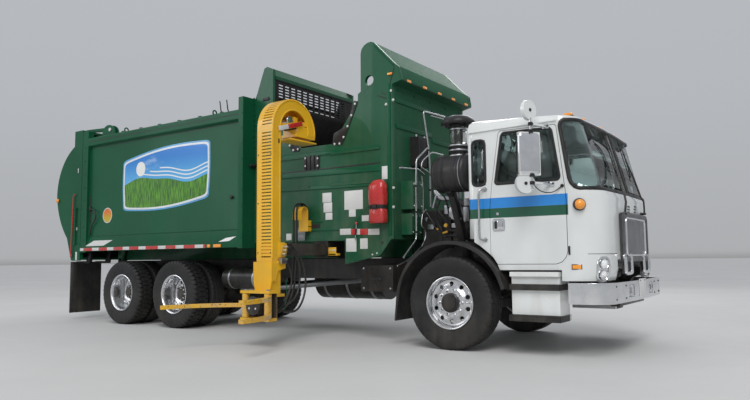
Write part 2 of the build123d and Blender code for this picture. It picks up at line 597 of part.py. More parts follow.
with BuildPart() as body_floor:
    block(BODY_REAR, BODY_FRONT - 100, -BODY_IN_Y, BODY_IN_Y, FLOOR_Z0, FLOOR_Z1)
    block(BODY_FRONT - 101, HOP_FRONT - 50, -HOP_IN_Y, HOP_IN_Y, FLOOR_Z0, FLOOR_Z1)
    for side, _ in SIDES:
        # long sills over the chassis rails, broken where the arm's sleeve crosses
        for x0, x1 in ((BODY_REAR, -2185), (-1915, -960)):
            block(x0, x1, side * RAIL_IN, side * RAIL_OUT, 1050, FLOOR_Z0)
        # tipping hinge ear
        plate_xz([(-7270, FLOOR_Z0), (-7250, 1010), (-7150, 1010), (-7060, FLOOR_Z0)],
                 side * 468, side * 512)
    # hoist ears
    for y0, y1 in ((-112, -84), (84, 112)):
        plate_xz([(-3720, FLOOR_Z0), (-3660, 1100), (-3540, 1100), (-3480, FLOOR_Z0)], y0, y1)
    for side, _ in SIDES:
        rod(BED_PIVOT[0], side * 490, BED_PIVOT[1], 30 + RUN_GAP, 60, "Y", Mode.SUBTRACT)
save(body_floor.part, "body_floor")

# hopper side outline, rear to front: the right one has the loading notch
HOP_TOP_R = [(-3253, 3463), (-3105, 3830), (-3050, 3846), (-2930, 3790), (-2930, 3120), (-2722, 2853),
             (-2420, 2575), (-1832, 2573), (-1415, 3105), (-1415, 3190), (-1368, 3217),
             (-1366, 3722), (-1350, 3782), (-1306, 3828), (-1250, 3852), (-1198, 3855)]
HOP_TOP_L = [(-3253, 3463), (-3105, 3830), (-3050, 3846), (-2930, 3790), (-2930, 3400),
             (-1415, 3400), (-1366, 3722), (-1350, 3782), (-1306, 3828), (-1250, 3852), (-1198, 3855)]
HOP_NOSE = [(-1150, 3835), (-830, 3500), (-780, 3462), (-735, 3300), (-735, 3275), (HOP_FRONT, 3240)]

with BuildPart() as hopper_sides:
    for side, top in ((-1, HOP_TOP_R), (1, HOP_TOP_L)):
        plate_xz([(BODY_FRONT, FLOOR_Z0), (BODY_FRONT, 3400)] + top + HOP_NOSE + [(HOP_FRONT, FLOOR_Z0)],
                 side * HOP_IN_Y, side * HOP_Y)
        rod(-1228, side * 955, 3345, 65, 80, "Y", Mode.SUBTRACT)
        # stiffening rails along the side
        for z0, z1 in ((2000, 2030), (2425, 2455)):
            for x0, x1 in ((-3270, -2235), (-1880, -1070)) if side < 0 else ((-3280, -1070),):
                block(x0, x1, side * HOP_Y, side * (HOP_Y + 15), z0, z1)
    # lower front skirt on the right
    plate_xz([(-1640, FLOOR_Z0), (-1640, 966), (-1084, 1075), (-919, FLOOR_Z0)], -HOP_Y, -HOP_Y + 40)
save(hopper_sides.part, "hopper_sides")

with BuildPart() as hopper_front:
    block(HOP_FRONT - 50, HOP_FRONT, -HOP_IN_Y, HOP_IN_Y, FLOOR_Z0, 3240)
    # peaked head sheet and the visor at its foot
    plate_xz([(-1198, 3855), (-1150, 3835), (-830, 3500), (-780, 3462), (-735, 3300), (-735, 3275), (HOP_FRONT, 3240),
              (HOP_FRONT - 50, 3240), (HOP_FRONT - 50, 3275), (-775, 3310), (-815, 3440), (-850, 3470),
              (-1165, 3795), (-1205, 3815)], -HOP_IN_Y, HOP_IN_Y)
save(hopper_front.part, "hopper_front")

with BuildPart() as hopper_screen:
    # sloping rear hood sheet, lip, and the slotted sheet hanging from it
    plate_xz([(-3253, 3463), (-3105, 3830), (-3050, 3846), (-2917, 3700), (-2917, 3640), (-2935, 3640), (-2935, 3690),
              (-3055, 3815), (-3085, 3800), (-3230, 3440), (-3253, 3440)], -HOP_IN_Y, HOP_IN_Y)
    # open window in the rear sheet, so daylight shows through the slots
    block(-3300, -3065, -880, 880, 3485, 3775, Mode.SUBTRACT)
    block(-2935, -2925, -HOP_IN_Y, HOP_IN_Y, 3230, 3660)
    # curtain below the slots, closing the hopper towards the body
    plate_xz([(-2935, 3230), (-2935, 3250), (-2925, 3250), (-2925, 3230), (-3180, 2700), (-3192, 2700)],
             -HOP_IN_Y, HOP_IN_Y)
    slots = [(-2930, (i - 6) * 136.0, 3325 + j * 43.0) for i in range(13) for j in range(7)]
    with Locations(*slots):
        Box(30, 92, 20, mode=Mode.SUBTRACT)
save(hopper_screen.part, "hopper_screen")

with BuildPart() as arm_sleeve:
    # box sleeve under the hopper floor, open at the kerb side
    block(-2165, -1935, -975, 1180, 1058, FLOOR_Z0)
    block(BOOM_X0 - 3, BOOM_X1 + 3, -1000, 1168, BOOM_Z0 - 3, BOOM_Z1 + 3, Mode.SUBTRACT)
    # hose guide on the hopper side: an inverted U with its foot
    with BuildSketch(Plane.YZ.offset(-2370)) as guide:
        with BuildLine():
            y_in, y_out = GUIDE_CY + GUIDE_R, GUIDE_CY - GUIDE_R
            Polyline((y_in - 12, 1410), (y_in - 12, GUIDE_CZ))
            ThreePointArc((y_in - 12, GUIDE_CZ), (GUIDE_CY, GUIDE_CZ + GUIDE_R - 12), (y_out + 12, GUIDE_CZ))
            Polyline((y_out + 12, GUIDE_CZ), (y_out + 12, 1560), (y_out, 1560), (y_out, GUIDE_CZ))
            ThreePointArc((y_out, GUIDE_CZ), (GUIDE_CY, GUIDE_CZ + GUIDE_R), (y_in, GUIDE_CZ))
            Polyline((y_in, GUIDE_CZ), (y_in, 1410), (y_in - 12, 1410))
        make_face()
    extrude(guide.sketch, amount=160)
    for x0 in (-2370, -2230):
        block(x0, x0 + 20, GUIDE_CY + GUIDE_R, -HOP_Y, 1480, 1560)
    block(-2370, -2210, GUIDE_CY + GUIDE_R - 12, -HOP_Y, 1410, HOSE_Z0)
save(arm_sleeve.part, "arm_sleeve")

with BuildPart() as rear_mud_flaps:
    for side, _ in SIDES:
        block(-7650, -7638, side * 600, side * 1200, 126, 1030)
        plate_xz([(-7650, 1000), (-7650, 1040), (-7340, 1040), (-7300, FLOOR_Z0), (-7200, FLOOR_Z0), (-7260, 1000)],
                 side * 660, side * 720)
        plate_xz([(-7650, 1000), (-7650, 1040), (-7340, 1040), (-7300, FLOOR_Z0), (-7200, FLOOR_Z0), (-7260, 1000)],
                 side * 1030, side * 1090)
save(rear_mud_flaps.part, "rear_mud_flaps")

with BuildPart() as oil_cooler:
    block(HOP_FRONT, -760, -560, -300, 2230, 2620)
    block(HOP_FRONT, -700, -800, -560, 1650, 2010)
    block(HOP_FRONT, -720, -800, -560, 1330, 1600)
save(oil_cooler.part, "oil_cooler")

with BuildPart() as packer_panel:
    plate_xz([(-1130, 1336), (-1130, 2260), (-1090, 2260), (-960, 2150), (-960, 1336)], -910, 910)
    block(-1090, -950, -870, 870, 1376, 2100, Mode.SUBTRACT)
save(packer_panel.part, "packer_panel")

# ================================================================ tailgate
with BuildPart() as tailgate:
    def gate_section(front, points, y0, y1, mode=Mode.ADD):
        """round-backed profile: top lip, bulged back by two arcs, foot"""
        top, shoulder, mid, belly, low, knee, foot = points
        with BuildSketch(Plane.XZ.offset(-max(y0, y1))) as profile:
            with BuildLine():
                Polyline((front, foot[1]), (front, top[1]), top, shoulder)
                ThreePointArc(shoulder, mid, belly)
                ThreePointArc(belly, low, knee)
                Polyline(knee, foot, (front, foot[1]))
            make_face()
        extrude(profile.sketch, amount=abs(y1 - y0), mode=mode)

    gate_section(GATE_FRONT, [(-7590, 3375), (-7585, 3135), (-7970, 2830), (-8164, 2236), (-8055, 1830),
                 (-7795, 1455), (-7650, 1062)], -1200, 1200)
    for side, _ in SIDES:
        # framing post of the gate
        block(-7596, GATE_FRONT, side * 1190, side * HALF_W, 1050, 3384)
        # hinge arm over the roof
        plate_xz([(-7570, 3350), (-7570, 3420), (-7400, 3420), (-6700, 3385), (-6655, 3355), (-6655, 3315),
                  (-6700, 3302), (-7350, 3366), (-7360, 3350)], side * 1036, side * 1072)
    gate_section(GATE_FRONT + 20, [(-7545, 3330), (-7540, 3110), (-7930, 2805), (-8122, 2236), (-8015, 1850),
                 (-7760, 1475), (-7620, 1105)], -1150, 1150, Mode.SUBTRACT)
    for side, _ in SIDES:
        rod(GATE_PIVOT[0], side * 1054, GATE_PIVOT[1], 20 + RUN_GAP, 60, "Y", Mode.SUBTRACT)
    # prop bars, stowed upright on the posts
    for side, _ in SIDES:
        rod(-7480, side * (HALF_W + 19), 1660, 14, 640, "Z")
        for z in (1330, 1950):
            block(-7500, -7460, side * (HALF_W - 5), side * (HALF_W + 36), z, z + 40)
save(tailgate.part, "tailgate")

# ================================================================ tipping hoist
hx, hz = HOIST_EYE[0] - HOIST_BASE[0], HOIST_EYE[1] - HOIST_BASE[1]
HOIST_L = hypot(hx, hz)
hoist_dir = (hx / HOIST_L, 0, hz / HOIST_L)
hoist_plane = Plane(origin=(HOIST_BASE[0], 0, HOIST_BASE[1]), x_dir=(0, 1, 0), z_dir=hoist_dir)
with BuildPart() as hoist_barrel:
    rod(HOIST_BASE[0], 0, HOIST_BASE[1], 52, 80, "Y")
    with BuildSketch(hoist_plane):
        Circle(38)
    extrude(amount=120)
    with BuildSketch(hoist_plane.offset(110)):
        Circle(75)
    extrude(amount=1450)
    with BuildSketch(hoist_plane.offset(150)):
        Circle(50 + RUN_GAP)
    extrude(amount=1500, mode=Mode.SUBTRACT)
    rod(HOIST_BASE[0], 0, HOIST_BASE[1], 25 + RUN_GAP, 120, "Y", Mode.SUBTRACT)
save(hoist_barrel.part, "hoist_barrel")

with BuildPart() as hoist_rod:
    with BuildSketch(hoist_plane.offset(156)):
        Circle(50)
    extrude(amount=HOIST_L - 156 - 30)
    rod(HOIST_EYE[0], 0, HOIST_EYE[1], 50, 150, "Y")
    rod(HOIST_EYE[0], 0, HOIST_EYE[1], 28, 180, "Y", Mode.SUBTRACT)
save(hoist_rod.part, "hoist_rod")

# ================================================================ arm
with BuildPart() as reach_boom:
    block(BOOM_X0, BOOM_X1, MAST_Y0 + 12, 330, BOOM_Z0, BOOM_Z1)
    block(BOOM_X0 + 14, BOOM_X1 - 14, MAST_Y0 + 40, 345, BOOM_Z0 + 14, BOOM_Z1 - 14, Mode.SUBTRACT)
save(reach_boom.part, "reach_boom")


def cane(r_out, r_in, z_low, x0, x1, mode=Mode.ADD):
    """the mast's cane shape in Y, Z: upright, half circle inboard, short end"""
    with BuildSketch(Plane.YZ.offset(x0)) as shape:
        with BuildLine():
            Polyline((MAST_CY - r_out, z_low), (MAST_CY - r_out, MAST_CZ))
            ThreePointArc((MAST_CY - r_out, MAST_CZ), (MAST_CY, MAST_CZ + r_out), (MAST_CY + r_out, MAST_CZ))
            Polyline((MAST_CY + r_out, MAST_CZ), (MAST_CY + r_out, MAST_CZ - 30), (MAST_CY + r_in, MAST_CZ - 30),
                     (MAST_CY + r_in, MAST_CZ))
            ThreePointArc((MAST_CY + r_in, MAST_CZ), (MAST_CY, MAST_CZ + r_in), (MAST_CY - r_in, MAST_CZ))
            Polyline((MAST_CY - r_in, MAST_CZ), (MAST_CY - r_in, z_low), (MAST_CY - r_out, z_low))
        make_face()
    extrude(shape.sketch, amount=x1 - x0, mode=mode)


with BuildPart() as mast:
    cane(MAST_R, MAST_RI, MAST_Z0, MAST_X0, MAST_X1)
    cane(MAST_R - 12, MAST_RI - 20, MAST_Z0 - 20, MAST_X0 + 12, MAST_X1 - 12, Mode.SUBTRACT)
    # rack slots up the track, then round the hook
    straight = [(MAST_XC + 30, MAST_Y0 + 6, 1070 + 41.0 * k) for k in range(38)]
    with Locations(*straight):
        Box(160, 40, 15, mode=Mode.SUBTRACT)
    around = [Location((MAST_XC + 30, MAST_CY - (MAST_R - 6) * cos(radians(5.8 * k)),
                        MAST_CZ + (MAST_R - 6) * sin(radians(5.8 * k))), (-5.8 * k, 0, 0)) for k in range(1, 20)]
    with Locations(*around):
        Box(160, 40, 15, mode=Mode.SUBTRACT)
    # end stop inside the hook, and the brace across it
    block(MAST_X0 + 3, MAST_X1 - 3, MAST_CY + 25, MAST_CY + MAST_R - 3, MAST_CZ - 62, MAST_CZ - 26)
    block(MAST_X0 + 5, MAST_X1 - 5, MAST_CY + 60, MAST_CY + MAST_RI + 30, MAST_CZ - 40, MAST_CZ + 80)
    for x0 in (MAST_X0 + 8, MAST_X1 - 22):
        plate_yz([(MAST_Y0 + 60, 2640), (MAST_Y0 + 60, 2700), (MAST_CY + MAST_R - 60, 2830),
                  (MAST_CY + MAST_R - 60, 2770)], x0, x0 + 14)
    # foot bracket for the hoses
    block(MAST_X0 + 3, MAST_X1 - 3, MAST_Y0 + 14, MAST_Y0 + 228, MAST_Z0 - 30, MAST_Z0 + 4)
    block(-2330, MAST_X0 + 20, MAST_Y0 + 160, MAST_Y0 + 226, MAST_Z0 - 30, MAST_Z0 - 3)
save(mast.part, "mast")

# two hydraulic hoses from the hopper, over the guide, down in a loop to the mast's foot
HOSE_R = 13.0
HOSES = (("rear", -2316.0), ("front", -2262.0))
HOSE_ROUTE = [(-1006, HOSE_Z0), (-1003, 1594), (-1004, 1718), (-1069, 1783), (-1161, 1783), (-1226, 1718), (-1222, 1560),
              (-1218, 1290), (-1224, 940), (-1275, 640), (-1420, 410), (-1630, 352), (-1800, 400), (-1850, 520),
              (-1850, 588)]
for name, x in HOSES:
    pts = [Vector(x, y, z) for y, z in HOSE_ROUTE]
    radii = []
    for i in range(1, len(pts) - 1):
        u, v = pts[i] - pts[i - 1], pts[i + 1] - pts[i]
        turn = radians(u.get_angle(v))
        radii.append(0.45 * min(u.length, v.length) / tan(turn / 2))
    print("hose", name, "radii", [round(r) for r in radii])
    with BuildPart() as hose:
        with BuildLine() as path:
            FilletPolyline(*pts, radius=radii)
        with BuildSketch(Plane(origin=pts[0], z_dir=(0, 0, 1))):
            Circle(HOSE_R)
        sweep(path=path.line)
    hose_length = path.wires()[0].length
    print("hose length %.0f, volume ratio %.4f" % (hose_length,
          hose.part.volume / (3.14159265 * HOSE_R ** 2 * hose_length)))
    save(hose.part, "arm_hose_" + name)

with BuildPart() as lift_carriage:
    # outboard plate, narrowing downwards, cheeks round the mast and the rollers behind it
    plate_xz([(MAST_X0 - 23, 780), (MAST_X0 - 23, 1010), (MAST_X1 + 23, 1010), (MAST_X1 + 23, 780),
              (MAST_X1 - 12, 640), (MAST_X1 + 30, 300), (MAST_X0 - 30, 300), (MAST_X0 + 12, 640)],
             MAST_Y0 - 30, MAST_Y0 - 8)
    for x0, x1, xr in ((MAST_X0 - 23, MAST_X0 - 8, MAST_X0 + 1), (MAST_X1 + 8, MAST_X1 + 23, MAST_X1 - 1)):
        plate_yz([(MAST_Y0 - 10, 780), (MAST_Y0 - 10, 1010), (MAST_Y0 + 120, 1010), (MAST_Y0 + 215, 985),
                  (MAST_Y0 + 215, 930), (MAST_Y0 + 80, 900), (MAST_Y0 + 40, 780)], x0, x1)
        for z in (958,):
            rod((x0 + x1) / 2 + (12 if x0 < MAST_XC else -12), MAST_Y0 + 188, z, 25, 30, "X")
    # gripper beam and its two upright pivots
    block(GRIP_XR - 60, GRIP_XF + 60, GRIP_Y - 40, MAST_Y0 - 30, 320, 352)
    block(GRIP_XR - 60, GRIP_XF + 60, GRIP_Y - 40, MAST_Y0 - 30, 640, 672)
    block(GRIP_XR - 60, GRIP_XF + 60, MAST_Y0 - 45, MAST_Y0 - 30, 320, 672)
    for x in (GRIP_XF, GRIP_XR):
        rod(x, GRIP_Y, 496, 25, 350, "Z")
save(lift_carriage.part, "lift_carriage")


def finger(pivot_x, tip, out_sign, z):
    """one curved finger from the pivot to its tip, bowed outwards"""
    px, py = pivot_x, GRIP_Y
    dx, dy = tip[0] - px, tip[1] - py
    ln = hypot(dx, dy)
    nx, ny = -dy / ln * out_sign, dx / ln * out_sign
    mid = (px + dx * 0.5 + nx * 115, py + dy * 0.5 + ny * 115)
    h = 26
    with BuildSketch(Plane.XY.offset(z - 24)) as band:
        with BuildLine():
            ThreePointArc((px + nx * h, py + ny * h), (mid[0] + nx * h, mid[1] + ny * h), (tip[0] + nx * h, tip[1] + ny * h))
            Polyline((tip[0] + nx * h, tip[1] + ny * h), (tip[0] - nx * h, tip[1] - ny * h))
            ThreePointArc((tip[0] - nx * h, tip[1] - ny * h), (mid[0] - nx * h, mid[1] - ny * h),
                          (px - nx * h, py - ny * h))
            Polyline((px - nx * h, py - ny * h), (px + nx * h, py + ny * h))
        make_face()
    extrude(band.sketch, amount=48)


with BuildPart() as gripper_front:
    TIP_F = (-1470.0, -2985.0)
    rod(GRIP_XF, GRIP_Y, 496, 45, 280, "Z")
    finger(GRIP_XF, TIP_F, 1, 595)
    finger(GRIP_XF, TIP_F, 1, 400)
    rod(GRIP_XF, GRIP_Y, 496, 25 + RUN_GAP, 300, "Z", Mode.SUBTRACT)
save(gripper_front.part, "gripper_front")

with BuildPart() as gripper_rear:
    TIP_R = (-2810.0, -2960.0)
    rod(GRIP_XR, GRIP_Y, 496, 45, 280, "Z")
    finger(GRIP_XR, TIP_R, -1, 498)
    rod(GRIP_XR, GRIP_Y, 496, 25 + RUN_GAP, 300, "Z", Mode.SUBTRACT)
save(gripper_rear.part, "gripper_rear")
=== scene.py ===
import random
from math import sin, cos, tan, pi, radians, sqrt, atan2, hypot
import bpy
import bmesh
from mathutils import Vector, Matrix
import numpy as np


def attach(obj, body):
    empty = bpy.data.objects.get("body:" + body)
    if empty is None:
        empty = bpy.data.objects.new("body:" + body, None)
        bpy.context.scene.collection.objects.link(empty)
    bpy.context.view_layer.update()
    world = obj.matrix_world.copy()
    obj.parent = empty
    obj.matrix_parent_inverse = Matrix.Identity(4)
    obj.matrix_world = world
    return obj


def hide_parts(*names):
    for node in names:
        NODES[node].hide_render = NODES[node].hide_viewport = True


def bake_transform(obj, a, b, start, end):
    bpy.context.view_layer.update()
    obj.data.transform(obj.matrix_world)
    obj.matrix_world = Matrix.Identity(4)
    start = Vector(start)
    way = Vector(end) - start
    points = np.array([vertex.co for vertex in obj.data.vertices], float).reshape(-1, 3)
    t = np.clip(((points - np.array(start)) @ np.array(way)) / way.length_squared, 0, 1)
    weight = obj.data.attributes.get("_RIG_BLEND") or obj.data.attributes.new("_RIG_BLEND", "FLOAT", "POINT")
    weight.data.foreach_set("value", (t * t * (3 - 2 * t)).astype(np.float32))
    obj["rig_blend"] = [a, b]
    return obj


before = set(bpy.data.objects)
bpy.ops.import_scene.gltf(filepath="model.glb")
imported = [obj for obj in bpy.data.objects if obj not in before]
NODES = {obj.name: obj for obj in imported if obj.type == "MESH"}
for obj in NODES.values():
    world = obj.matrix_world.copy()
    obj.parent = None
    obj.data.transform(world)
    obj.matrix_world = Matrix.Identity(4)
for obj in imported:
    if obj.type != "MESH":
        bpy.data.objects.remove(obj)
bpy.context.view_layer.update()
scene = bpy.context.scene
rng = random.Random(7)

# =============================================================== camera
CAM = Vector((3.58, -7.845, 1.04))
AZ, PITCH, ROLL = radians(34.602), radians(5.059), radians(-0.579)
fwd = Vector((-sin(AZ) * cos(PITCH), cos(AZ) * cos(PITCH), sin(PITCH)))
right = Vector((cos(AZ), sin(AZ), 0))
up = right.cross(fwd)
cam_x = right * cos(ROLL) + up * sin(ROLL)
cam_y = up * cos(ROLL) - right * sin(ROLL)
camera_data = bpy.data.cameras.new("camera")
camera_data.lens, camera_data.sensor_width = 31.5775, 36.0
camera_data.clip_start, camera_data.clip_end = 0.05, 600
camera = bpy.data.objects.new("camera", camera_data)
turn = Matrix((cam_x, cam_y, -fwd)).transposed().to_4x4()
camera.matrix_world = Matrix.Translation(CAM) @ turn
scene.collection.objects.link(camera)
scene.camera = camera


# =============================================================== node material builder
class Mat:
    """a procedural material: small helpers that add nodes to one tree"""

    def __init__(self, name):
        self.m = bpy.data.materials.new(name)
        self.m.use_nodes = True
        self.t = self.m.node_tree
        self.t.nodes.clear()
        self.out = self.t.nodes.new("ShaderNodeOutputMaterial")
        self.b = self.t.nodes.new("ShaderNodeBsdfPrincipled")
        self.t.links.new(self.b.outputs[0], self.out.inputs[0])
        self.co = self.t.nodes.new("ShaderNodeTexCoord").outputs["Object"]
        self._xyz = None

    def set(self, **k):
        names = {"metal": "Metallic", "rough": "Roughness", "ior": "IOR", "trans": "Transmission Weight",
                 "coat": "Coat Weight", "coat_rough": "Coat Roughness", "spec": "Specular IOR Level",
                 "emit": "Emission Strength", "emit_col": "Emission Color", "base": "Base Color",
                 "sheen": "Sheen Weight", "aniso": "Anisotropic", "alpha": "Alpha"}
        for key, v in k.items():
            sock = self.b.inputs[names[key]]
            if isinstance(v, bpy.types.NodeSocket):
                self.t.links.new(v, sock)
            elif isinstance(v, (tuple, list)):
                sock.default_value = (*v[:3], 1.0)
            else:
                sock.default_value = v
        return self

    def feed(self, sock, v):
        if isinstance(v, bpy.types.NodeSocket):
            self.t.links.new(v, sock)
        elif isinstance(v, (tuple, list)) and len(sock.default_value) == 4:
            sock.default_value = (*v[:3], 1.0)
        else:
            sock.default_value = v

    def xyz(self, i):
        if self._xyz is None:
            s = self.t.nodes.new("ShaderNodeSeparateXYZ")
            self.t.links.new(self.co, s.inputs[0])
            self._xyz = s
        return self._xyz.outputs[i]

    def scaled(self, sx, sy, sz):
        n = self.t.nodes.new("ShaderNodeMapping")
        n.inputs["Scale"].default_value = (sx, sy, sz)
        self.t.links.new(self.co, n.inputs["Vector"])
        return n.outputs[0]

    def noise(self, scale, detail=4.0, rough=0.55, co=None, distort=0.0):
        n = self.t.nodes.new("ShaderNodeTexNoise")
        n.inputs["Scale"].default_value = scale
        n.inputs["Detail"].default_value = detail
        n.inputs["Roughness"].default_value = rough
        n.inputs["Distortion"].default_value = distort
        self.t.links.new(co or self.co, n.inputs["Vector"])
        return n.outputs["Fac"]

    def voronoi(self, scale, co=None, feature="F1"):
        n = self.t.nodes.new("ShaderNodeTexVoronoi")
        n.feature = feature
        n.inputs["Scale"].default_value = scale
        self.t.links.new(co or self.co, n.inputs["Vector"])
        return n.outputs["Distance"]

    def wave(self, scale, axis="Z", co=None, distort=0.0):
        n = self.t.nodes.new("ShaderNodeTexWave")
        n.bands_direction = axis
        n.inputs["Scale"].default_value = scale
        n.inputs["Distortion"].default_value = distort
        self.t.links.new(co or self.co, n.inputs["Vector"])
        return n.outputs["Fac"]

    def math(self, op, a, b=0.0, clamp=False):
        n = self.t.nodes.new("ShaderNodeMath")
        n.operation, n.use_clamp = op, clamp
        self.feed(n.inputs[0], a)
        self.feed(n.inputs[1], b)
        return n.outputs[0]

    def ease(self, v, lo, hi, a=0.0, b=1.0):
        n = self.t.nodes.new("ShaderNodeMapRange")
        n.interpolation_type = "SMOOTHSTEP"
        self.feed(n.inputs["Value"], v)
        for key, val in (("From Min", lo), ("From Max", hi), ("To Min", a), ("To Max", b)):
            n.inputs[key].default_value = val
        return n.outputs["Result"]

    def band(self, v, lo, hi, soft=0.0008):
        """1 between two values"""
        return self.math("MULTIPLY", self.ease(v, lo - soft, lo + soft), self.ease(v, hi - soft, hi + soft, 1.0, 0.0))

    def mix(self, fac, a, b):
        n = self.t.nodes.new("ShaderNodeMix")
        n.data_type = "RGBA"
        self.feed(n.inputs["Factor"], fac)
        self.feed(n.inputs[6], a)
        self.feed(n.inputs[7], b)
        return n.outputs[2]

    def bump(self, height, strength=0.3, dist=0.002, under=None):
        n = self.t.nodes.new("ShaderNodeBump")
        n.inputs["Strength"].default_value = strength
        n.inputs["Distance"].default_value = dist
        self.t.links.new(height, n.inputs["Height"])
        if under is not None:
            self.t.links.new(under, n.inputs["Normal"])
        return n.outputs[0]

    def normal(self, v):
        self.t.links.new(v, self.b.inputs["Normal"])
        return self


DUST = (0.30, 0.26, 0.20)


def grime(m, low, high, amount):
    """road dust: thick near the ground, thinning with height, broken up by noise and rain streaks"""
    z = m.ease(m.xyz(2), low, high, 1.0, 0.12)
    patch = m.ease(m.noise(3.1, 6.0, 0.6), 0.35, 0.72)
    streak = m.ease(m.noise(9.0, 3.0, 0.5, m.scaled(1.0, 1.0, 0.07)), 0.42, 0.75)
    both = m.math("MULTIPLY", m.math("ADD", patch, streak), z)
    return m.math("MULTIPLY", both, amount, True)


def paint(name, color, rough=0.22, dust=0.16, low=0.5, high=2.6, wavy=0.0, chips=0.0, chip_color=(0.10, 0.08, 0.07),
          coat=0.6, spec=0.5):
    m = Mat(name)
    tone = m.mix(m.ease(m.noise(0.9, 3.0), 0.3, 0.7), [c * 0.88 for c in color], [min(1, c * 1.08) for c in color])
    dirt = grime(m, low, high, dust)
    col = m.mix(dirt, tone, DUST)
    if chips:
        flake = m.ease(m.noise(38.0, 6.0, 0.68), 0.70 - chips, 0.715 - chips)
        col = m.mix(flake, col, chip_color)
    m.set(base=col, coat=coat, coat_rough=0.06, spec=spec)
    m.set(rough=m.math("ADD", m.math("MULTIPLY", dirt, 0.55), m.ease(m.noise(24.0, 3.0), 0.3, 0.7, rough, rough + 0.09)))
    peel = m.bump(m.noise(420.0, 2.0), 0.05, 0.0006)
    if wavy:
        peel = m.bump(m.noise(1.7, 2.0, 0.4), wavy, 0.02, peel)
    if chips:
        peel = m.bump(flake, 0.25, 0.0006, peel)
    return m.normal(peel)


GREEN = (0.004, 0.084, 0.036)
WHITE = (0.74, 0.76, 0.75)
YELLOW = (0.84, 0.46, 0.010)

M = {}
M["green"] = paint("body_green", GREEN, 0.29, 0.025, 0.9, 2.6, wavy=0.14, coat=0.05, spec=0.19).m
M["green_dirty"] = paint("body_green_used", GREEN, 0.38, 0.10, 0.9, 3.4, wavy=0.08, chips=0.04, coat=0.08, spec=0.3).m
M["white"] = paint("cab_white", WHITE, 0.16, 0.05, 0.4, 2.0, wavy=0.03).m
M["white_step"] = paint("step_white", WHITE, 0.26, 0.20, 0.25, 1.2, wavy=0.02).m
M["yellow"] = paint("safety_yellow", YELLOW, 0.30, 0.16, 0.2, 3.2, chips=0.035, chip_color=(0.08, 0.05, 0.03)).m
M["yellow_worn"] = paint("safety_yellow_worn", YELLOW, 0.36, 0.30, 0.2, 2.2, chips=0.10, chip_color=(0.07, 0.05, 0.04)).m
M["red"] = paint("alarm_red", (0.50, 0.012, 0.012), 0.22, 0.10, 0.9, 2.6).m
M["blank_plate"] = paint("blank_plate", (0.70, 0.71, 0.70), 0.38, 0.12, 0.4, 2.6, coat=0.1).m


def striped():
    """cab paint with the blue band over the green one along both sides"""
    m = Mat("cab_white_striped")
    side = m.ease(m.math("ABSOLUTE", m.xyz(1)), 1.075, 1.085)
    ahead = m.ease(m.xyz(0), 1.372, 1.376, 1.0, 0.0)
    where = m.math("MULTIPLY", side, ahead)
    blue = m.math("MULTIPLY", m.band(m.xyz(2), 1.575, 1.690), where)
    green = m.math("MULTIPLY", m.band(m.xyz(2), 1.468, 1.575), where)
    dirt = grime(m, 0.5, 2.0, 0.05)
    tone = m.mix(m.ease(m.noise(0.9, 3.0), 0.3, 0.7), [c * 0.9 for c in WHITE], [c * 1.04 for c in WHITE])
    col = m.mix(blue, tone, (0.016, 0.235, 0.66))
    col = m.mix(green, col, (0.003, 0.085, 0.042))
    m.set(base=m.mix(dirt, col, DUST), coat=0.7, coat_rough=0.05)
    m.set(rough=m.math("ADD", m.math("MULTIPLY", dirt, 0.6), m.ease(m.noise(24.0, 3.0), 0.3, 0.7, 0.15, 0.24)))
    edge = m.math("ADD", blue, green)
    peel = m.bump(m.noise(420.0, 2.0), 0.04, 0.0006)
    return m.normal(m.bump(edge, 0.2, 0.0004, m.bump(m.noise(1.7, 2.0, 0.4), 0.03, 0.02, peel))).m


M["striped"] = striped()


def metal(name, color, rough, dust=0.1, low=0.2, high=1.6, grain=0.0, smudge=0.10, dark=None):
    m = Mat(name)
    dirt = grime(m, low, high, dust)
    tone = m.mix(m.ease(m.noise(5.0, 5.0), 0.3, 0.7), [c * 0.85 for c in color], color)
    if dark:
        tone = m.mix(m.ease(m.noise(11.0, 6.0, 0.65), 0.45, 0.62), tone, dark)
    m.set(base=m.mix(dirt, tone, (0.22, 0.19, 0.15)), metal=m.ease(dirt, 0.0, 1.0, 1.0, 0.25))
    r = m.ease(m.noise(7.0, 5.0, 0.6), 0.3, 0.7, rough, rough + smudge)
    m.set(rough=m.math("ADD", r, m.math("MULTIPLY", dirt, 0.5)))
    n = m.bump(m.noise(160.0, 3.0), 0.08, 0.0006)
    if grain:
        n = m.bump(m.noise(300.0, 2.0, 0.5, m.scaled(0.04, 1.0, 1.0)), grain, 0.0006, n)
    return m.normal(n).m


M["chrome"] = metal("chrome_plate", (0.82, 0.83, 0.85), 0.05, 0.10, 0.3, 1.0, smudge=0.07)
M["chrome_bowl"] = metal("chrome_bowl", (0.40, 0.41, 0.43), 0.06, 0.10, 0.3, 1.0, smudge=0.08)
M["alloy"] = metal("polished_alloy", (0.80, 0.81, 0.83), 0.16, 0.20, 0.1, 1.0, grain=0.10, smudge=0.14)
M["steel"] = metal("bare_steel", (0.50, 0.51, 0.53), 0.28, 0.18, 0.2, 3.0, grain=0.15, smudge=0.15)
M["worn_steel"] = metal("worn_steel", (0.30, 0.29, 0.28), 0.38, 0.35, 1.0, 3.2, grain=0.2, smudge=0.2,
                        dark=(0.10, 0.055, 0.035))
M["tube"] = metal("hydraulic_tube", (0.60, 0.61, 0.62), 0.20, 0.14, 0.5, 3.0, smudge=0.12)


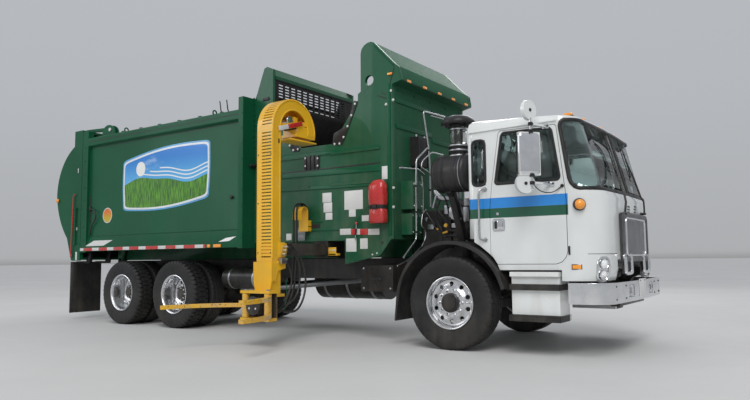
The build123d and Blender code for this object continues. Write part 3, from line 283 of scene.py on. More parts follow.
def dull(name, color, rough, dust=0.25, low=0.1, high=1.8, grit=60.0, depth=0.3, spec=0.4, fine=None):
    """unpainted dark matter: rubber, plastic, cast and rough-painted iron"""
    m = Mat(name)
    dirt = grime(m, low, high, dust)
    tone = m.mix(m.ease(m.noise(6.0, 5.0), 0.3, 0.7), [c * 0.75 for c in color], [c * 1.3 for c in color])
    m.set(base=m.mix(dirt, tone, [c * 0.62 for c in DUST]), spec=spec)
    m.set(rough=m.math("ADD", m.ease(m.noise(18.0, 4.0), 0.3, 0.7, rough - 0.06, rough + 0.08),
                       m.math("MULTIPLY", dirt, 0.3)))
    n = m.bump(m.noise(grit, 5.0, 0.6), depth, 0.001)
    if fine:
        n = m.bump(m.voronoi(fine), 0.25, 0.0006, n)
    return m.normal(n).m


M["tyre"] = dull("tyre_rubber", (0.014, 0.014, 0.0145), 0.60, 0.13, 0.0, 0.9, 90.0, 0.25)
M["tyre_side"] = M["tyre"]
M["rubber"] = dull("black_rubber", (0.016, 0.016, 0.017), 0.50, 0.22, 0.0, 1.6, 70.0, 0.2)
M["flap"] = dull("mud_flap_rubber", (0.014, 0.014, 0.015), 0.58, 0.25, 0.0, 1.2, 40.0, 0.3)
M["gasket"] = dull("window_gasket", (0.012, 0.012, 0.013), 0.42, 0.08, 0.5, 3.0, 120.0, 0.1)
M["plastic"] = dull("black_plastic", (0.018, 0.018, 0.020), 0.36, 0.12, 0.5, 3.2, 260.0, 0.12)
M["frame"] = dull("black_steel", (0.018, 0.018, 0.019), 0.46, 0.22, 0.1, 1.5, 30.0, 0.3)
M["black_satin"] = dull("black_satin_paint", (0.014, 0.014, 0.015), 0.30, 0.14, 0.2, 2.6, 200.0, 0.1)
M["iron"] = dull("cast_iron", (0.055, 0.053, 0.052), 0.60, 0.45, 0.1, 1.8, 55.0, 0.6)
M["grille_grey"] = dull("grille_grey", (0.075, 0.078, 0.082), 0.36, 0.10, 0.4, 2.0, 200.0, 0.1)
M["vinyl"] = dull("seat_vinyl", (0.045, 0.048, 0.055), 0.50, 0.03, 0.5, 3.0, 150.0, 0.2, fine=260.0)
M["cooler"] = dull("oil_cooler_black", (0.016, 0.016, 0.017), 0.45, 0.15, 0.5, 3.0, 60.0, 0.2)
M["hose"] = dull("hose_rubber", (0.012, 0.012, 0.013), 0.40, 0.20, 0.1, 2.2, 300.0, 0.2)


def fins(name, color, per_m, axis="Z"):
    m = Mat(name)
    n = m.t.nodes.new("ShaderNodeTexWave")
    n.bands_direction = axis
    n.inputs["Scale"].default_value = per_m / 2.0
    m.t.links.new(m.co, n.inputs["Vector"])
    dirt = grime(m, 0.4, 2.5, 0.3)
    # the wave's dark bands are painted shade in the gaps between the fins
    m.set(base=m.mix(dirt, m.mix(n.outputs["Fac"], [c * 0.25 for c in color], color), [c * 0.5 for c in DUST]), metal=0.6)
    m.set(rough=m.ease(m.noise(30.0), 0.3, 0.7, 0.35, 0.5))
    return m.normal(m.bump(n.outputs["Fac"], 0.7, 0.004)).m


M["fins"] = fins("cooler_fins", (0.12, 0.12, 0.125), 90.0)


def glass(name, tint, rough=0.02):
    m = Mat(name)
    m.set(base=tint, trans=1.0, ior=1.45, spec=0.5)
    m.set(rough=m.ease(m.noise(4.0, 5.0, 0.6), 0.45, 0.8, rough, rough + 0.10))
    return m.normal(m.bump(m.noise(2.2, 2.0), 0.04, 0.004)).m


M["glass"] = glass("window_glass", (0.62, 0.74, 0.72))
M["clear"] = glass("clear_bowl", (0.78, 0.80, 0.78), 0.05)


def lens(name, color, cells=160.0):
    """moulded lamp lens over a bright reflector"""
    m = Mat(name)
    cell = m.voronoi(cells)
    m.set(base=m.mix(m.ease(cell, 0.1, 0.6), color, [min(1.0, c * 1.6 + 0.02) for c in color]), coat=1.0, coat_rough=0.03)
    m.set(rough=m.ease(m.noise(30.0), 0.3, 0.7, 0.12, 0.2))
    return m.normal(m.bump(cell, 0.5, 0.002)).m


M["amber"] = lens("amber_lens", (0.85, 0.22, 0.005))
M["amber_lit"] = M["amber"]
M["red_lens"] = lens("red_lens", (0.55, 0.01, 0.01))
M["lamp"] = lens("clear_lamp", (0.62, 0.64, 0.66), 90.0)


def tape(name, color):
    m = Mat(name)
    cell = m.voronoi(150.0)
    dirt = grime(m, 0.6, 2.4, 0.16)
    m.set(base=m.mix(dirt, m.mix(m.ease(cell, 0.0, 0.5), color, [c * 0.8 for c in color]), DUST), coat=0.8)
    m.set(rough=m.ease(m.noise(20.0), 0.3, 0.7, 0.22, 0.34))
    return m.normal(m.bump(cell, 0.3, 0.0008)).m


M["tape_red"] = tape("tape_red", (0.62, 0.012, 0.014))
M["tape_white"] = tape("tape_white", (0.78, 0.78, 0.76))


def mirror_glass():
    m = Mat("mirror_glass")
    m.set(base=m.mix(m.ease(m.noise(9.0, 4.0), 0.4, 0.7), (0.88, 0.9, 0.92), (0.8, 0.82, 0.84)), metal=1.0)
    m.set(rough=m.ease(m.noise(30.0, 4.0), 0.5, 0.8, 0.01, 0.08))
    return m.m


M["mirror"] = mirror_glass()

# =============================================================== CAD nodes: materials and softened edges
DRESS = {
    "white": ["cab_roof"], "striped": ["cab_front", "cab_sides", "cab_floor", "door_right", "door_left"],
    "white_step": ["step_boxes"], "green": ["body_sides", "body_roof", "tailgate"],
    "green_dirty": ["body_floor", "hopper_front", "hopper_screen", "hopper_sides"],
    "yellow": ["mast", "arm_sleeve", "reach_boom"], "yellow_worn": ["lift_carriage", "gripper_front", "gripper_rear"],
    "chrome": ["bumper"], "glass": ["cab_glass", "door_glass_right", "door_glass_left"], "grille_grey": ["grille"],
    "plastic": ["air_cleaner", "dashboard"], "frame": ["frame_rails", "front_axle", "rear_axles", "hoist_barrel"],
    "iron": ["engine_block", "knuckle_right", "knuckle_left"], "steel": ["driveshaft", "hoist_rod"],
    "rubber": ["front_fenders"], "flap": ["rear_mud_flaps"], "black_satin": ["chassis_tanks"], "cooler": ["oil_cooler"],
    "fins": ["radiator"], "worn_steel": ["packer_panel"],
}
BEVEL = {"cab_front": 0.006, "cab_sides": 0.003, "cab_roof": 0.012, "bumper": 0.006, "mast": 0.004, "step_boxes": 0.006,
         "body_sides": 0.006, "tailgate": 0.008, "hopper_sides": 0.003, "hopper_front": 0.006, "hopper_screen": 0.002,
         "body_roof": 0.004, "grille": 0.006, "front_fenders": 0.006, "door_right": 0.004, "door_left": 0.004,
         "lift_carriage": 0.004, "gripper_front": 0.007, "gripper_rear": 0.007, "frame_rails": 0.003,
         "reach_boom": 0.005, "arm_sleeve": 0.004, "air_cleaner": 0.006, "chassis_tanks": 0.008, "oil_cooler": 0.006,
         "engine_block": 0.02, "packer_panel": 0.006, "dashboard": 0.012, "front_axle": 0.006, "rear_axles": 0.006}


def soften(o, width, angle=35.0, segments=2):
    """welded, bevelled edges and smooth shading, as modifiers"""
    me = o.data
    for a in list(me.attributes):
        if a.name == "custom_normal":
            me.attributes.remove(a)
    me.polygons.foreach_set("use_smooth", [True] * len(me.polygons))
    w = o.modifiers.new("weld", "WELD")
    w.merge_threshold = 0.00005
    if width:
        b = o.modifiers.new("edges", "BEVEL")
        b.width, b.segments, b.limit_method = width, segments, "ANGLE"
        b.angle_limit = radians(angle)
        b.miter_outer = "MITER_ARC"
        b.harden_normals = True
        b.use_clamp_overlap = True
    else:
        me.set_sharp_from_angle(angle=radians(angle))


for key, names in DRESS.items():
    for n in names:
        node = NODES[n]
        node.data.materials.clear()
        node.data.materials.append(M[key])
        soften(node, BEVEL.get(n, 0.0))


# =============================================================== mesh kit
class Kit:
    """gathers many small shapes of one material into one mesh"""

    def __init__(self):
        self.v, self.f = [], []

    def put(self, verts, faces):
        k = len(self.v)
        self.v.extend(Vector(p) for p in verts)
        self.f.extend([tuple(i + k for i in face) for face in faces])

    def slab(self, size, mat=Matrix.Identity(4), bevel=0.004):
        """a box with chamfered edges and corners, centred, then placed by a matrix"""
        bm = bmesh.new()
        bmesh.ops.create_cube(bm, size=1.0)
        for v in bm.verts:
            v.co = Vector((v.co.x * size[0], v.co.y * size[1], v.co.z * size[2]))
        if bevel:
            b = min(bevel, min(size) * 0.45)
            bmesh.ops.bevel(bm, geom=list(bm.edges), offset=b, segments=2, profile=0.6, affect="EDGES")
        self.take(bm, mat)

    def box(self, lo, hi, bevel=0.004):
        c = [(a + b) / 2 for a, b in zip(lo, hi)]
        self.slab([abs(b - a) for a, b in zip(lo, hi)], Matrix.Translation(c), bevel)

    def take(self, bm, mat=Matrix.Identity(4)):
        bm.verts.index_update()
        self.put([mat @ v.co for v in bm.verts], [[v.index for v in f.verts] for f in bm.faces])
        bm.free()

    def lathe(self, profile, mat=Matrix.Identity(4), n=32, closed=False):
        """profile of (radius, height) pairs turned about Z"""
        verts, faces, rows = [], [], []
        for r, h in profile:
            if r < 1e-6:
                rows.append([len(verts)] * n)
                verts.append(Vector((0, 0, h)))
            else:
                rows.append(list(range(len(verts), len(verts) + n)))
                verts.extend(Vector((r * cos(2 * pi * i / n), r * sin(2 * pi * i / n), h)) for i in range(n))
        pairs = list(zip(rows[:-1], rows[1:]))
        if closed:
            pairs.append((rows[-1], rows[0]))
        for a, b in pairs:
            for i in range(n):
                j = (i + 1) % n
                face = []
                for k in (a[i], a[j], b[j], b[i]):
                    if k not in face:
                        face.append(k)
                if len(face) > 2:
                    faces.append(face)
        self.put([mat @ p for p in verts], faces)

    def rod(self, a, b, r, n=16, chamfer=0.12, r2=None):
        """a bar between two points with chamfered ends"""
        a, b = Vector(a), Vector(b)
        h = (b - a).length
        r2 = r if r2 is None else r2
        c = min(chamfer * r, h * 0.2)
        q = (b - a).to_track_quat("Z", "Y").to_matrix().to_4x4()
        self.lathe([(0, 0), (r - c, 0), (r, c), (r2, h - c), (r2 - c, h), (0, h)], Matrix.Translation(a) @ q, n)

    def ring(self, p, axis, r_out, r_in, height, n=32):
        q = Vector(axis).to_track_quat("Z", "Y").to_matrix().to_4x4()
        c = min(height, r_out - r_in) * 0.25
        self.lathe([(r_in, c), (r_in + c, 0), (r_out - c, 0), (r_out, c), (r_out, height - c), (r_out - c, height),
                    (r_in + c, height), (r_in, height - c)], Matrix.Translation(p) @ q, n, closed=True)

    def bolt(self, p, axis, r=0.011, h=0.008, washer=True):
        """hexagon head on a washer"""
        q = Matrix.Translation(p) @ Vector(axis).to_track_quat("Z", "Y").to_matrix().to_4x4()
        base = 0.0
        if washer:
            self.lathe([(0, -0.001), (r * 1.35, -0.001), (r * 1.35, 0.0025), (0, 0.0025)], q, 16)
            base = 0.0025
        self.lathe([(0, base), (r, base), (r, base + h * 0.8), (r * 0.82, base + h), (0, base + h)], q, 6)

    def tube(self, pts, r, n=12, caps=True):
        """a round tube that follows points"""
        pts = [Vector(p) for p in pts]
        verts, faces = [], []
        ref = None
        for i, p in enumerate(pts):
            d = (pts[min(i + 1, len(pts) - 1)] - pts[max(i - 1, 0)]).normalized()
            if ref is None:
                ref = d.orthogonal().normalized()
            else:
                ref = (ref - d * ref.dot(d))
                ref = ref.normalized() if ref.length > 1e-6 else d.orthogonal().normalized()
            other = d.cross(ref)
            rr = r[i] if isinstance(r, (list, tuple)) else r
            for k in range(n):
                a = 2 * pi * k / n
                verts.append(p + (ref * cos(a) + other * sin(a)) * rr)
        for i in range(len(pts) - 1):
            for k in range(n):
                j = (k + 1) % n
                faces.append((i * n + k, i * n + j, (i + 1) * n + j, (i + 1) * n + k))
        if caps:
            faces.append(tuple(reversed(range(n))))
            faces.append(tuple(range((len(pts) - 1) * n, len(pts) * n)))
        self.put(verts, faces)

    def prism(self, outline, frame_fn, depth, bevel=0.0):
        """a flat outline of (a, b) pairs given thickness; frame_fn maps (a, b, c) to a point"""
        bm = bmesh.new()
        low = [bm.verts.new(frame_fn(a, b, 0.0)) for a, b in outline]
        high = [bm.verts.new(frame_fn(a, b, depth)) for a, b in outline]
        n = len(outline)
        bm.faces.new(low)
        bm.faces.new(list(reversed(high)))
        for i in range(n):
            j = (i + 1) % n
            bm.faces.new((low[j], low[i], high[i], high[j]))
        bmesh.ops.recalc_face_normals(bm, faces=list(bm.faces))
        if bevel:
            bmesh.ops.bevel(bm, geom=list(bm.edges), offset=bevel, segments=2, profile=0.6, affect="EDGES")
        self.take(bm)

    def done(self, name, material, body, angle=38.0, slot=None):
        me = bpy.data.meshes.new(name)
        me.from_pydata(self.v, [], self.f)
        bm = bmesh.new()
        bm.from_mesh(me)
        bmesh.ops.recalc_face_normals(bm, faces=list(bm.faces))
        bm.to_mesh(me)
        bm.free()
        me.polygons.foreach_set("use_smooth", [True] * len(me.polygons))
        me.set_sharp_from_angle(angle=radians(angle))
        me.materials.append(M[material] if isinstance(material, str) else material)
        o = bpy.data.objects.new(name, me)
        scene.collection.objects.link(o)
        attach(o, body)
        return o


def flip(side):
    return Matrix.Scale(side, 4, (0, 1, 0))


def smooth_path(points, order=3, resolution=10):
    """points read off a NURBS line through these controls"""
    cu = bpy.data.curves.new("line", "CURVE")
    cu.dimensions = "3D"
    sp = cu.splines.new("NURBS")
    sp.points.add(len(points) - 1)
    for i, p in enumerate(points):
        sp.points[i].co = (*p, 1.0)
    sp.order_u = order
    sp.use_endpoint_u = True
    sp.resolution_u = resolution
    ob = bpy.data.objects.new("line", cu)
    scene.collection.objects.link(ob)
    bpy.context.view_layer.update()
    me = bpy.data.meshes.new_from_object(ob)
    out = [v.co.copy() for v in me.vertices]
    bpy.data.objects.remove(ob)
    bpy.data.curves.remove(cu)
    bpy.data.meshes.remove(me)
    return out


# =============================================================== the arm's two free hoses
HOSE_ROUTE = [(-1.006, 1.468), (-1.003, 1.594), (-1.004, 1.718), (-1.069, 1.783), (-1.161, 1.783), (-1.226, 1.718),
              (-1.222, 1.560), (-1.218, 1.290), (-1.224, 0.940), (-1.275, 0.640), (-1.420, 0.410), (-1.630, 0.352),
              (-1.800, 0.400), (-1.850, 0.520), (-1.850, 0.588)]
for hose_name, hx in (("rear", -2.316), ("front", -2.262)):
    path = smooth_path([(hx, y, z) for y, z in HOSE_ROUTE], resolution=14)
    kit = Kit()
    kit.tube(path, 0.013, 20)
    me = bpy.data.meshes.new("hose_" + hose_name)
    me.from_pydata(kit.v, [], kit.f)
    me.polygons.foreach_set("use_smooth", [True] * len(me.polygons))
    me.set_sharp_from_angle(angle=radians(50))
    me.materials.append(M["hose"])
    hose = bpy.data.objects.new("hose_" + hose_name, me)
    scene.collection.objects.link(hose)
    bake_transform(hose, "bed", "arm", start=(hx, -1.22, 1.30), end=(hx, -1.84, 0.42))
    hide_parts("arm_hose_" + hose_name)

# =============================================================== placing by the photograph's pixels
F_PX, CX, CY = 657.865, 375.0, 200.0


def ray(u, v):
    return cam_x * (u - CX) + cam_y * (CY - v) + fwd * F_PX


def at_y(u, v, y):
    d = ray(u, v)
    return CAM + d * ((y - CAM.y) / d.y)


def at_x(u, v, x):
    d = ray(u, v)
    return CAM + d * ((x - CAM.x) / d.x)


def arc_x(p, q, s, y):
    """x on the circle through three plan points, for a given y (the bulge is towards +x)"""
    (ax, ay), (bx, by), (cx, cy) = p, q, s
    d = 2 * (ax * (by - cy) + bx * (cy - ay) + cx * (ay - by))
    ux = ((ax * ax + ay * ay) * (by - cy) + (bx * bx + by * by) * (cy - ay) + (cx * cx + cy * cy) * (ay - by)) / d
    uy = ((ax * ax + ay * ay) * (cx - bx) + (bx * bx + by * by) * (ax - cx) + (cx * cx + cy * cy) * (bx - ax)) / d
    r = hypot(ax - ux, ay - uy)
    return ux + sqrt(max(0.0, r * r - (y - uy) ** 2))


def cab_x(y, z):
    """front surface of the cab: x at a height and a distance from the centreline"""
    y = min(abs(y), 1.1399)
    t = min(max((z - 1.730) / 0.760, 0.0), 1.0)
    if z < 0.900:
        nose = 1.705 + 0.030 * min(max((z - 0.785) / 0.115, 0.0), 1.0)
    elif z < 1.730:
        nose = 1.735 - 0.035 * max((z - 1.660) / 0.070, 0.0)
    else:
        nose = 1.700 - 0.203 * t
    x1 = 1.370 - 0.074 * t
    x2 = nose - 0.025
    if y <= 0.85:
        return arc_x((x2, 0.85), (nose, 0.0), (x2, -0.85), y)
    return arc_x((x1, 1.14), (x1 + (x2 - x1) * 0.70, 1.14 - 0.29 * 0.29), (x2, 0.85), y)


def cab_y(x, z):
    """distance from the centreline where the corner surface has this x"""
    lo, hi = 0.85, 1.14
    for _ in range(40):
        mid = (lo + hi) / 2
        if cab_x(mid, z) > x:
            lo = mid
        else:
            hi = mid
    return lo


def cab_n(y, z):
    e = 0.01
    ty = Vector((cab_x(y + e, z) - cab_x(y - e, z), 2 * e, 0))
    tz = Vector((cab_x(y, z + e) - cab_x(y, z - e), 0, 2 * e))
    return ty.cross(tz).normalized()


def on_cab(y, z, off=0.0):
    return Vector((cab_x(y, z), y, z)) + cab_n(y, z) * off


def cab_hit(u, v):
    """where a pixel's ray meets the cab's front"""
    d = ray(u, v).normalized()
    t, best, near = 4.0, None, 1e9
    while t < 13.0:
        p = CAM + d * t
        if abs(p.y) < 1.14:
            gap = p.x - cab_x(p.y, p.z)
            if gap < 0:
                return p
            if gap < near:
                near, best = gap, p
        t += 0.004
    return Vector((cab_x(best.y, best.z), best.y, best.z))


def roof_z(x):
    return 2.600 - 0.06625 * (x - 0.150)


def rounded(points, r, n=5):
    """corners of a polygon rounded with short arcs, for edging strips"""
    out = []
    k = len(points)
    for i in range(k):
        p0, p1, p2 = Vector(points[i - 1]), Vector(points[i]), Vector(points[(i + 1) % k])
        a, b = (p0 - p1), (p2 - p1)
        s = min(r, a.length * 0.45, b.length * 0.45)
        a, b = p1 + a.normalized() * s, p1 + b.normalized() * s
        for j in range(n + 1):
            t = j / n
            out.append(a * (1 - t) ** 2 + p1 * (2 * t * (1 - t)) + b * t * t)
    return out


def strip(kit, pts, half_w, proud, normals, closed=True):
    """a moulded edging: a low rounded section swept along points lying on a surface"""
    sec = [(-1.0, -0.2), (-1.0, 0.45), (-0.62, 0.92), (0.0, 1.0), (0.62, 0.92), (1.0, 0.45), (1.0, -0.2)]
    n = len(pts)
    verts, faces = [], []
    for i in range(n):
        if closed:
            d = pts[(i + 1) % n] - pts[i - 1]
        else:
            d = pts[min(i + 1, n - 1)] - pts[max(i - 1, 0)]
        nv = normals[i].normalized() if isinstance(normals, list) else Vector(normals)
        side = d.normalized().cross(nv).normalized()
        for a, b in sec:
            verts.append(pts[i] + side * (a * half_w) + nv * (b * proud))
    m = len(sec)
    for i in range(n if closed else n - 1):
        j = (i + 1) % n
        for k in range(m):
            l = (k + 1) % m
            faces.append((i * m + k, i * m + l, j * m + l, j * m + k))
    if not closed:
        faces.append(tuple(range(m)))
        faces.append(tuple(reversed(range((n - 1) * m, n * m))))
    kit.put(verts, faces)


def carve(body, cutter):
    """boolean difference of two kits, read back into the first"""
    obs = []
    for kt in (body, cutter):
        me = bpy.data.meshes.new("tmp")
        me.from_pydata(kt.v, [], kt.f)
        bm = bmesh.new()
        bm.from_mesh(me)
        bmesh.ops.recalc_face_normals(bm, faces=list(bm.faces))
        bm.to_mesh(me)
        bm.free()
        ob = bpy.data.objects.new("tmp", me)
        scene.collection.objects.link(ob)
        obs.append(ob)
    mod = obs[0].modifiers.new("cut", "BOOLEAN")
    mod.operation, mod.object, mod.solver = "DIFFERENCE", obs[1], "EXACT"
    bpy.context.view_layer.update()
    me = bpy.data.meshes.new_from_object(obs[0].evaluated_get(bpy.context.evaluated_depsgraph_get()))
    body.v = [v.co.copy() for v in me.vertices]
    body.f = [tuple(p.vertices) for p in me.polygons]
    for ob in obs:
        bpy.data.objects.remove(ob)
    return body


# =============================================================== wheels
def tyre_into(kit, mat, hw, R, pitches, drive, bead=0.290):
    """a tyre with shaped walls and a grooved, blocked tread; the axle is local Z"""
    half = [(0.75, bead, 0), (0.80, bead + 0.004, 0), (0.86, bead + 0.020, 0), (0.905, bead + 0.026, 0),
            (0.92, bead + 0.046, 0), (0.962, R - 0.155, 0), (0.992, R - 0.118, 0), (1.0, R - 0.092, 0), (0.992, R - 0.070, 0),
            (0.976, R - 0.050, 0), (0.957, R - 0.034, 1), (0.915, R - 0.018, 1), (0.860, R - 0.009, 1),
            (0.800, R - 0.004, 1)]
    depth = 0.018 if drive else 0.014
    centres = (0.44, 0.0) if drive else (0.46, 0.155)
    gw = 0.032
    for c in centres:
        if c:
            half += [(c + gw + 0.02, R - 0.001, 1 if c > 0.3 else 2), (c + gw, R - 0.002, 0), (c + gw * 0.6, R - depth, 0),
                     (c - gw * 0.6, R - depth, 0), (c - gw, R - 0.002, 0), (c - gw - 0.02, R, 2)]
        else:
            half += [(gw, R, 2), (gw * 0.6, R - depth, 0), (0.0, R - depth, 0)]
    prof = [(y, r, k) for y, r, k in half] + [(-y, r, k) for y, r, k in reversed(half) if y > 0]
    if drive:
        steps = [(0.0, 0), (0.03, 1), (0.27, 1), (0.30, 0), (0.50, 0), (0.53, 2), (0.63, 2), (0.66, 0)]
    else:
        steps = [(0.0, 0), (0.04, 1), (0.16, 1), (0.20, 0)]
    cut = 0.015 if drive else 0.007
    verts, faces = [], []
    n = pitches * len(steps)
    for i in range(n):
        f, kind = steps[i % len(steps)]
        a = 2 * pi * ((i // len(steps)) + f) / pitches
        for y, r, k in prof:
            if k and k == kind:
                r = max(R - 0.06, r - cut * (1.0 if abs(y) < 0.9 else 0.6))
            verts.append(mat @ Vector((r * cos(a), r * sin(a), y * hw)))
    m = len(prof)
    for i in range(n):
        j = (i + 1) % n
        for k in range(m):
            l = (k + 1) % m
            faces.append((i * m + k, j * m + k, j * m + l, i * m + l))
    kit.put(verts, faces)


def ring_plate(profile, n=80):
    k = Kit()
    k.lathe(profile, Matrix.Identity(4), n, closed=True)
    return k


def hand_holes(disc, r_at, r_hole, count, z0, z1):
    c = Kit()
    for i in range(count):
        a = 2 * pi * (i + 0.5) / count
        c.rod((r_at * cos(a), r_at * sin(a), z0), (r_at * cos(a), r_at * sin(a), z1), r_hole, 20, 0.0)
    return carve(disc, c)


def place(kit, other, mat):
    kit.put([mat @ v for v in other.v], other.f)


front_disc = hand_holes(ring_plate([(0.268, 0.062), (0.258, 0.078), (0.246, 0.072), (0.226, 0.070), (0.190, 0.082),
                                    (0.176, 0.098), (0.168, 0.1035), (0.106, 0.1035), (0.106, 0.084), (0.160, 0.084),
                                    (0.182, 0.062), (0.226, 0.050), (0.250, 0.050)]), 0.2135, 0.0265, 10, 0.02, 0.12)
rear_disc = hand_holes(ring_plate([(0.266, 0.952), (0.252, 0.966), (0.236, 0.950), (0.200, 0.944), (0.176, 0.946),
                                   (0.168, 0.950), (0.106, 0.950), (0.106, 0.930), (0.168, 0.928), (0.200, 0.924),
                                   (0.240, 0.928), (0.258, 0.940)]), 0.213, 0.0265, 10, 0.90, 0.99)
BARREL_F = [(0.262, -0.110), (0.272, -0.136), (0.290, -0.142), (0.299, -0.139), (0.299, -0.124), (0.287, -0.118),
            (0.276, -0.080), (0.276, 0.070), (0.287, 0.117), (0.298, 0.122), (0.3005, 0.132), (0.298, 0.140),
            (0.291, 0.143), (0.283, 0.140), (0.275, 0.128), (0.268, 0.112), (0.264, 0.090), (0.262, 0.050)]
BARREL_R = [(0.262, 0.965), (0.272, 0.952), (0.290, 0.946), (0.298, 0.950), (0.298, 0.962), (0.287, 0.968),
            (0.276, 1.000), (0.276, 1.130), (0.287, 1.183), (0.298, 1.188), (0.3005, 1.198), (0.298, 1.208),
            (0.291, 1.211), (0.283, 1.208), (0.275, 1.198), (0.266, 1.176), (0.262, 1.150), (0.260, 1.010)]
BARREL_I = [(0.262, 0.650), (0.270, 0.622), (0.290, 0.617), (0.298, 0.620), (0.298, 0.632), (0.287, 0.640),
            (0.276, 0.670), (0.276, 0.820), (0.287, 0.858), (0.298, 0.866), (0.298, 0.880), (0.284, 0.884),
            (0.262, 0.872), (0.250, 0.860)]
WHEELS = [("front_" + h, "wheel_front_" + h, s, 0.0, 0.529, True) for s, h in ((-1, "right"), (1, "left"))]
WHEELS += [(w + h, "wheel_" + w + h, s, x, 0.518, False) for x, w in ((-4.79, "rear1_"), (-6.12, "rear2_"))
           for s, h in ((-1, "right"), (1, "left"))]
for name, body, s, x, hub, steer in WHEELS:
    out = Vector((0, s, 0)).to_track_quat("Z", "Y").to_matrix().to_4x4()
    base = Matrix.Translation((x, s * 1.063 if steer else 0.0, hub)) @ out
    rubber, bright, nuts, dark = Kit(), Kit(), Kit(), Kit()
    if steer:
        tyre_into(rubber, base, 0.156, 0.529, 52, False)
        bright.lathe(BARREL_F, base, 80, closed=True)
        place(bright, front_disc, base)
        z0 = 0.1035
        dark.lathe([(0.106, 0.060), (0.110, 0.066), (0.110, 0.122), (0.102, 0.130), (0.086, 0.132), (0.082, 0.146),
                    (0.060, 0.150), (0.0, 0.150), (0.0, 0.06)], base, 40)
        dark.lathe([(0.036, -0.060), (0.100, -0.060), (0.110, 0.0), (0.190, 0.0), (0.190, -0.098), (0.205, -0.098),
                    (0.205, 0.020), (0.150, 0.046), (0.112, 0.060), (0.036, 0.060)], base, 48, closed=True)
        for i in range(6):
            a = 2 * pi * i / 6
            dark.bolt(base @ Vector((0.094 * cos(a), 0.094 * sin(a), 0.131)), (0, s, 0), 0.008, 0.006, False)
    else:
        two = ((1.079, 44, True), (0.749, 44, False))
        for yc, p, drive in two:
            tyre_into(rubber, base @ Matrix.Translation((0, 0, yc)), 0.140, 0.518, p, drive)
        bright.lathe(BARREL_R, base, 72, closed=True)
        bright.lathe(BARREL_I, base, 56, closed=True)
        place(bright, rear_disc, base)
        z0 = 0.950
        dark.lathe([(0.106, 0.900), (0.112, 0.95), (0.114, 1.030), (0.106, 1.040), (0.106, 1.052), (0.092, 1.060),
                    (0.070, 1.064), (0.066, 1.078), (0.0, 1.082), (0.0, 0.90)], base, 40)
        dark.lathe([(0.052, 0.700), (0.100, 0.700), (0.110, 0.800), (0.185, 0.800), (0.185, 0.650), (0.205, 0.650),
                    (0.205, 0.840), (0.160, 0.900), (0.106, 0.926), (0.052, 0.926)], base, 48, closed=True)
        dark.lathe([(0.170, 0.905), (0.250, 0.885), (0.262, 0.860), (0.268, 0.866), (0.262, 0.905), (0.240, 0.922),
                    (0.168, 0.924)], base, 56, closed=True)
        for i in range(8):
            a = 2 * pi * i / 8
            nuts.bolt(base @ Vector((0.084 * cos(a), 0.084 * sin(a), 1.058)), (0, s, 0), 0.010, 0.012)
    for i in range(10):
        a = 2 * pi * i / 10
        p = Vector((0.143 * cos(a), 0.143 * sin(a), z0))
        nuts.lathe([(0, 0), (0.0225, 0), (0.0225, 0.004), (0.0195, 0.006), (0.0195, 0.024), (0.0165, 0.029),
                    (0.0125, 0.029), (0.0115, 0.041), (0.0, 0.041)], base @ Matrix.Translation(p), 6)
    # valve stem in one of the hand holes
    nuts.rod(base @ Vector((0.236, 0.0, z0 - 0.02)), base @ Vector((0.216, 0.0, z0 + 0.03)), 0.0045, 8)
    tread = rubber.done("tread_" + name, "tyre", body, 30)
    disc = bright.done("disc_" + name, "alloy", body, 32)
    nuts.done("nuts_" + name, "chrome", body)
    dark.done("hub_" + name, "black_satin" if steer else "iron", body)
    if steer:
        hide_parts("tyre_" + name)
        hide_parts("rim_" + name)
    else:
        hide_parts("tyres_" + name)
        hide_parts("rims_" + name)

# =============================================================== cab: glazing rubbers
DOOR_PANE = [(0.572, 1.862), (0.655, 2.372), (0.678, 2.402), (1.200, 2.396), (1.222, 2.370), (1.294, 1.872),
             (1.276, 1.842), (0.590, 1.842)]
for s, hand in ((-1, "right"), (1, "left")):
    kit = Kit()
    pts = rounded([(x, s * 1.1395, z) for x, z in DOOR_PANE], 0.035)
    strip(kit, pts, 0.015, 0.008, Vector((0, s, 0)))
    # lower sill of the drop glass and the guide between the vent and the main pane
    kit.box((0.60, s * 1.128 - 0.006, 1.836), (1.27, s * 1.128 + 0.006, 1.850), 0.003)
    kit.done("door_window_rubber_" + hand, "gasket", "door_body_" + hand)
    kit = Kit()
    pts = rounded([(0.296, s * 1.1395, 1.838), (0.455, s * 1.1395, 1.838), (0.455, s * 1.1395, 2.350),
                   (0.296, s * 1.1395, 2.350)], 0.06)
    strip(kit, pts, 0.013, 0.008, Vector((0, s, 0)))
    # wrapped windscreen: along the sill, up the side and back under the roof
    edge = []
    for k in range(23):
        y = 0.022 + (cab_y(1.500, 1.738) - 0.022) * k / 22
        edge.append((y, 1.738))
    for x, z in ((1.475, 1.745), (1.450, 1.756), (1.430, 1.778), (1.412, 1.800), (1.403, 1.825), (1.394, 1.850),
                 (1.380, 1.945), (1.365, 2.050), (1.350, 2.155), (1.335, 2.260), (1.322, 2.345), (1.314, 2.400),
                 (1.316, 2.424), (1.322, 2.444), (1.335, 2.460), (1.352, 2.470)):
        edge.append((cab_y(x, z), z))
    y_top = edge[-1][0]
    for k in range(1, 23):
        edge.append((y_top + (0.022 - y_top) * k / 22, 2.470))
    for k in range(1, 12):
        edge.append((0.022, 2.470 - 0.732 * k / 12))
    pts = [on_cab(s * y, z, 0.0) for y, z in edge]
    nor = [cab_n(s * y, z) for y, z in edge]
    strip(kit, pts, 0.020, 0.010, nor)
    kit.done("cab_window_rubber_" + hand, "gasket", "cab")

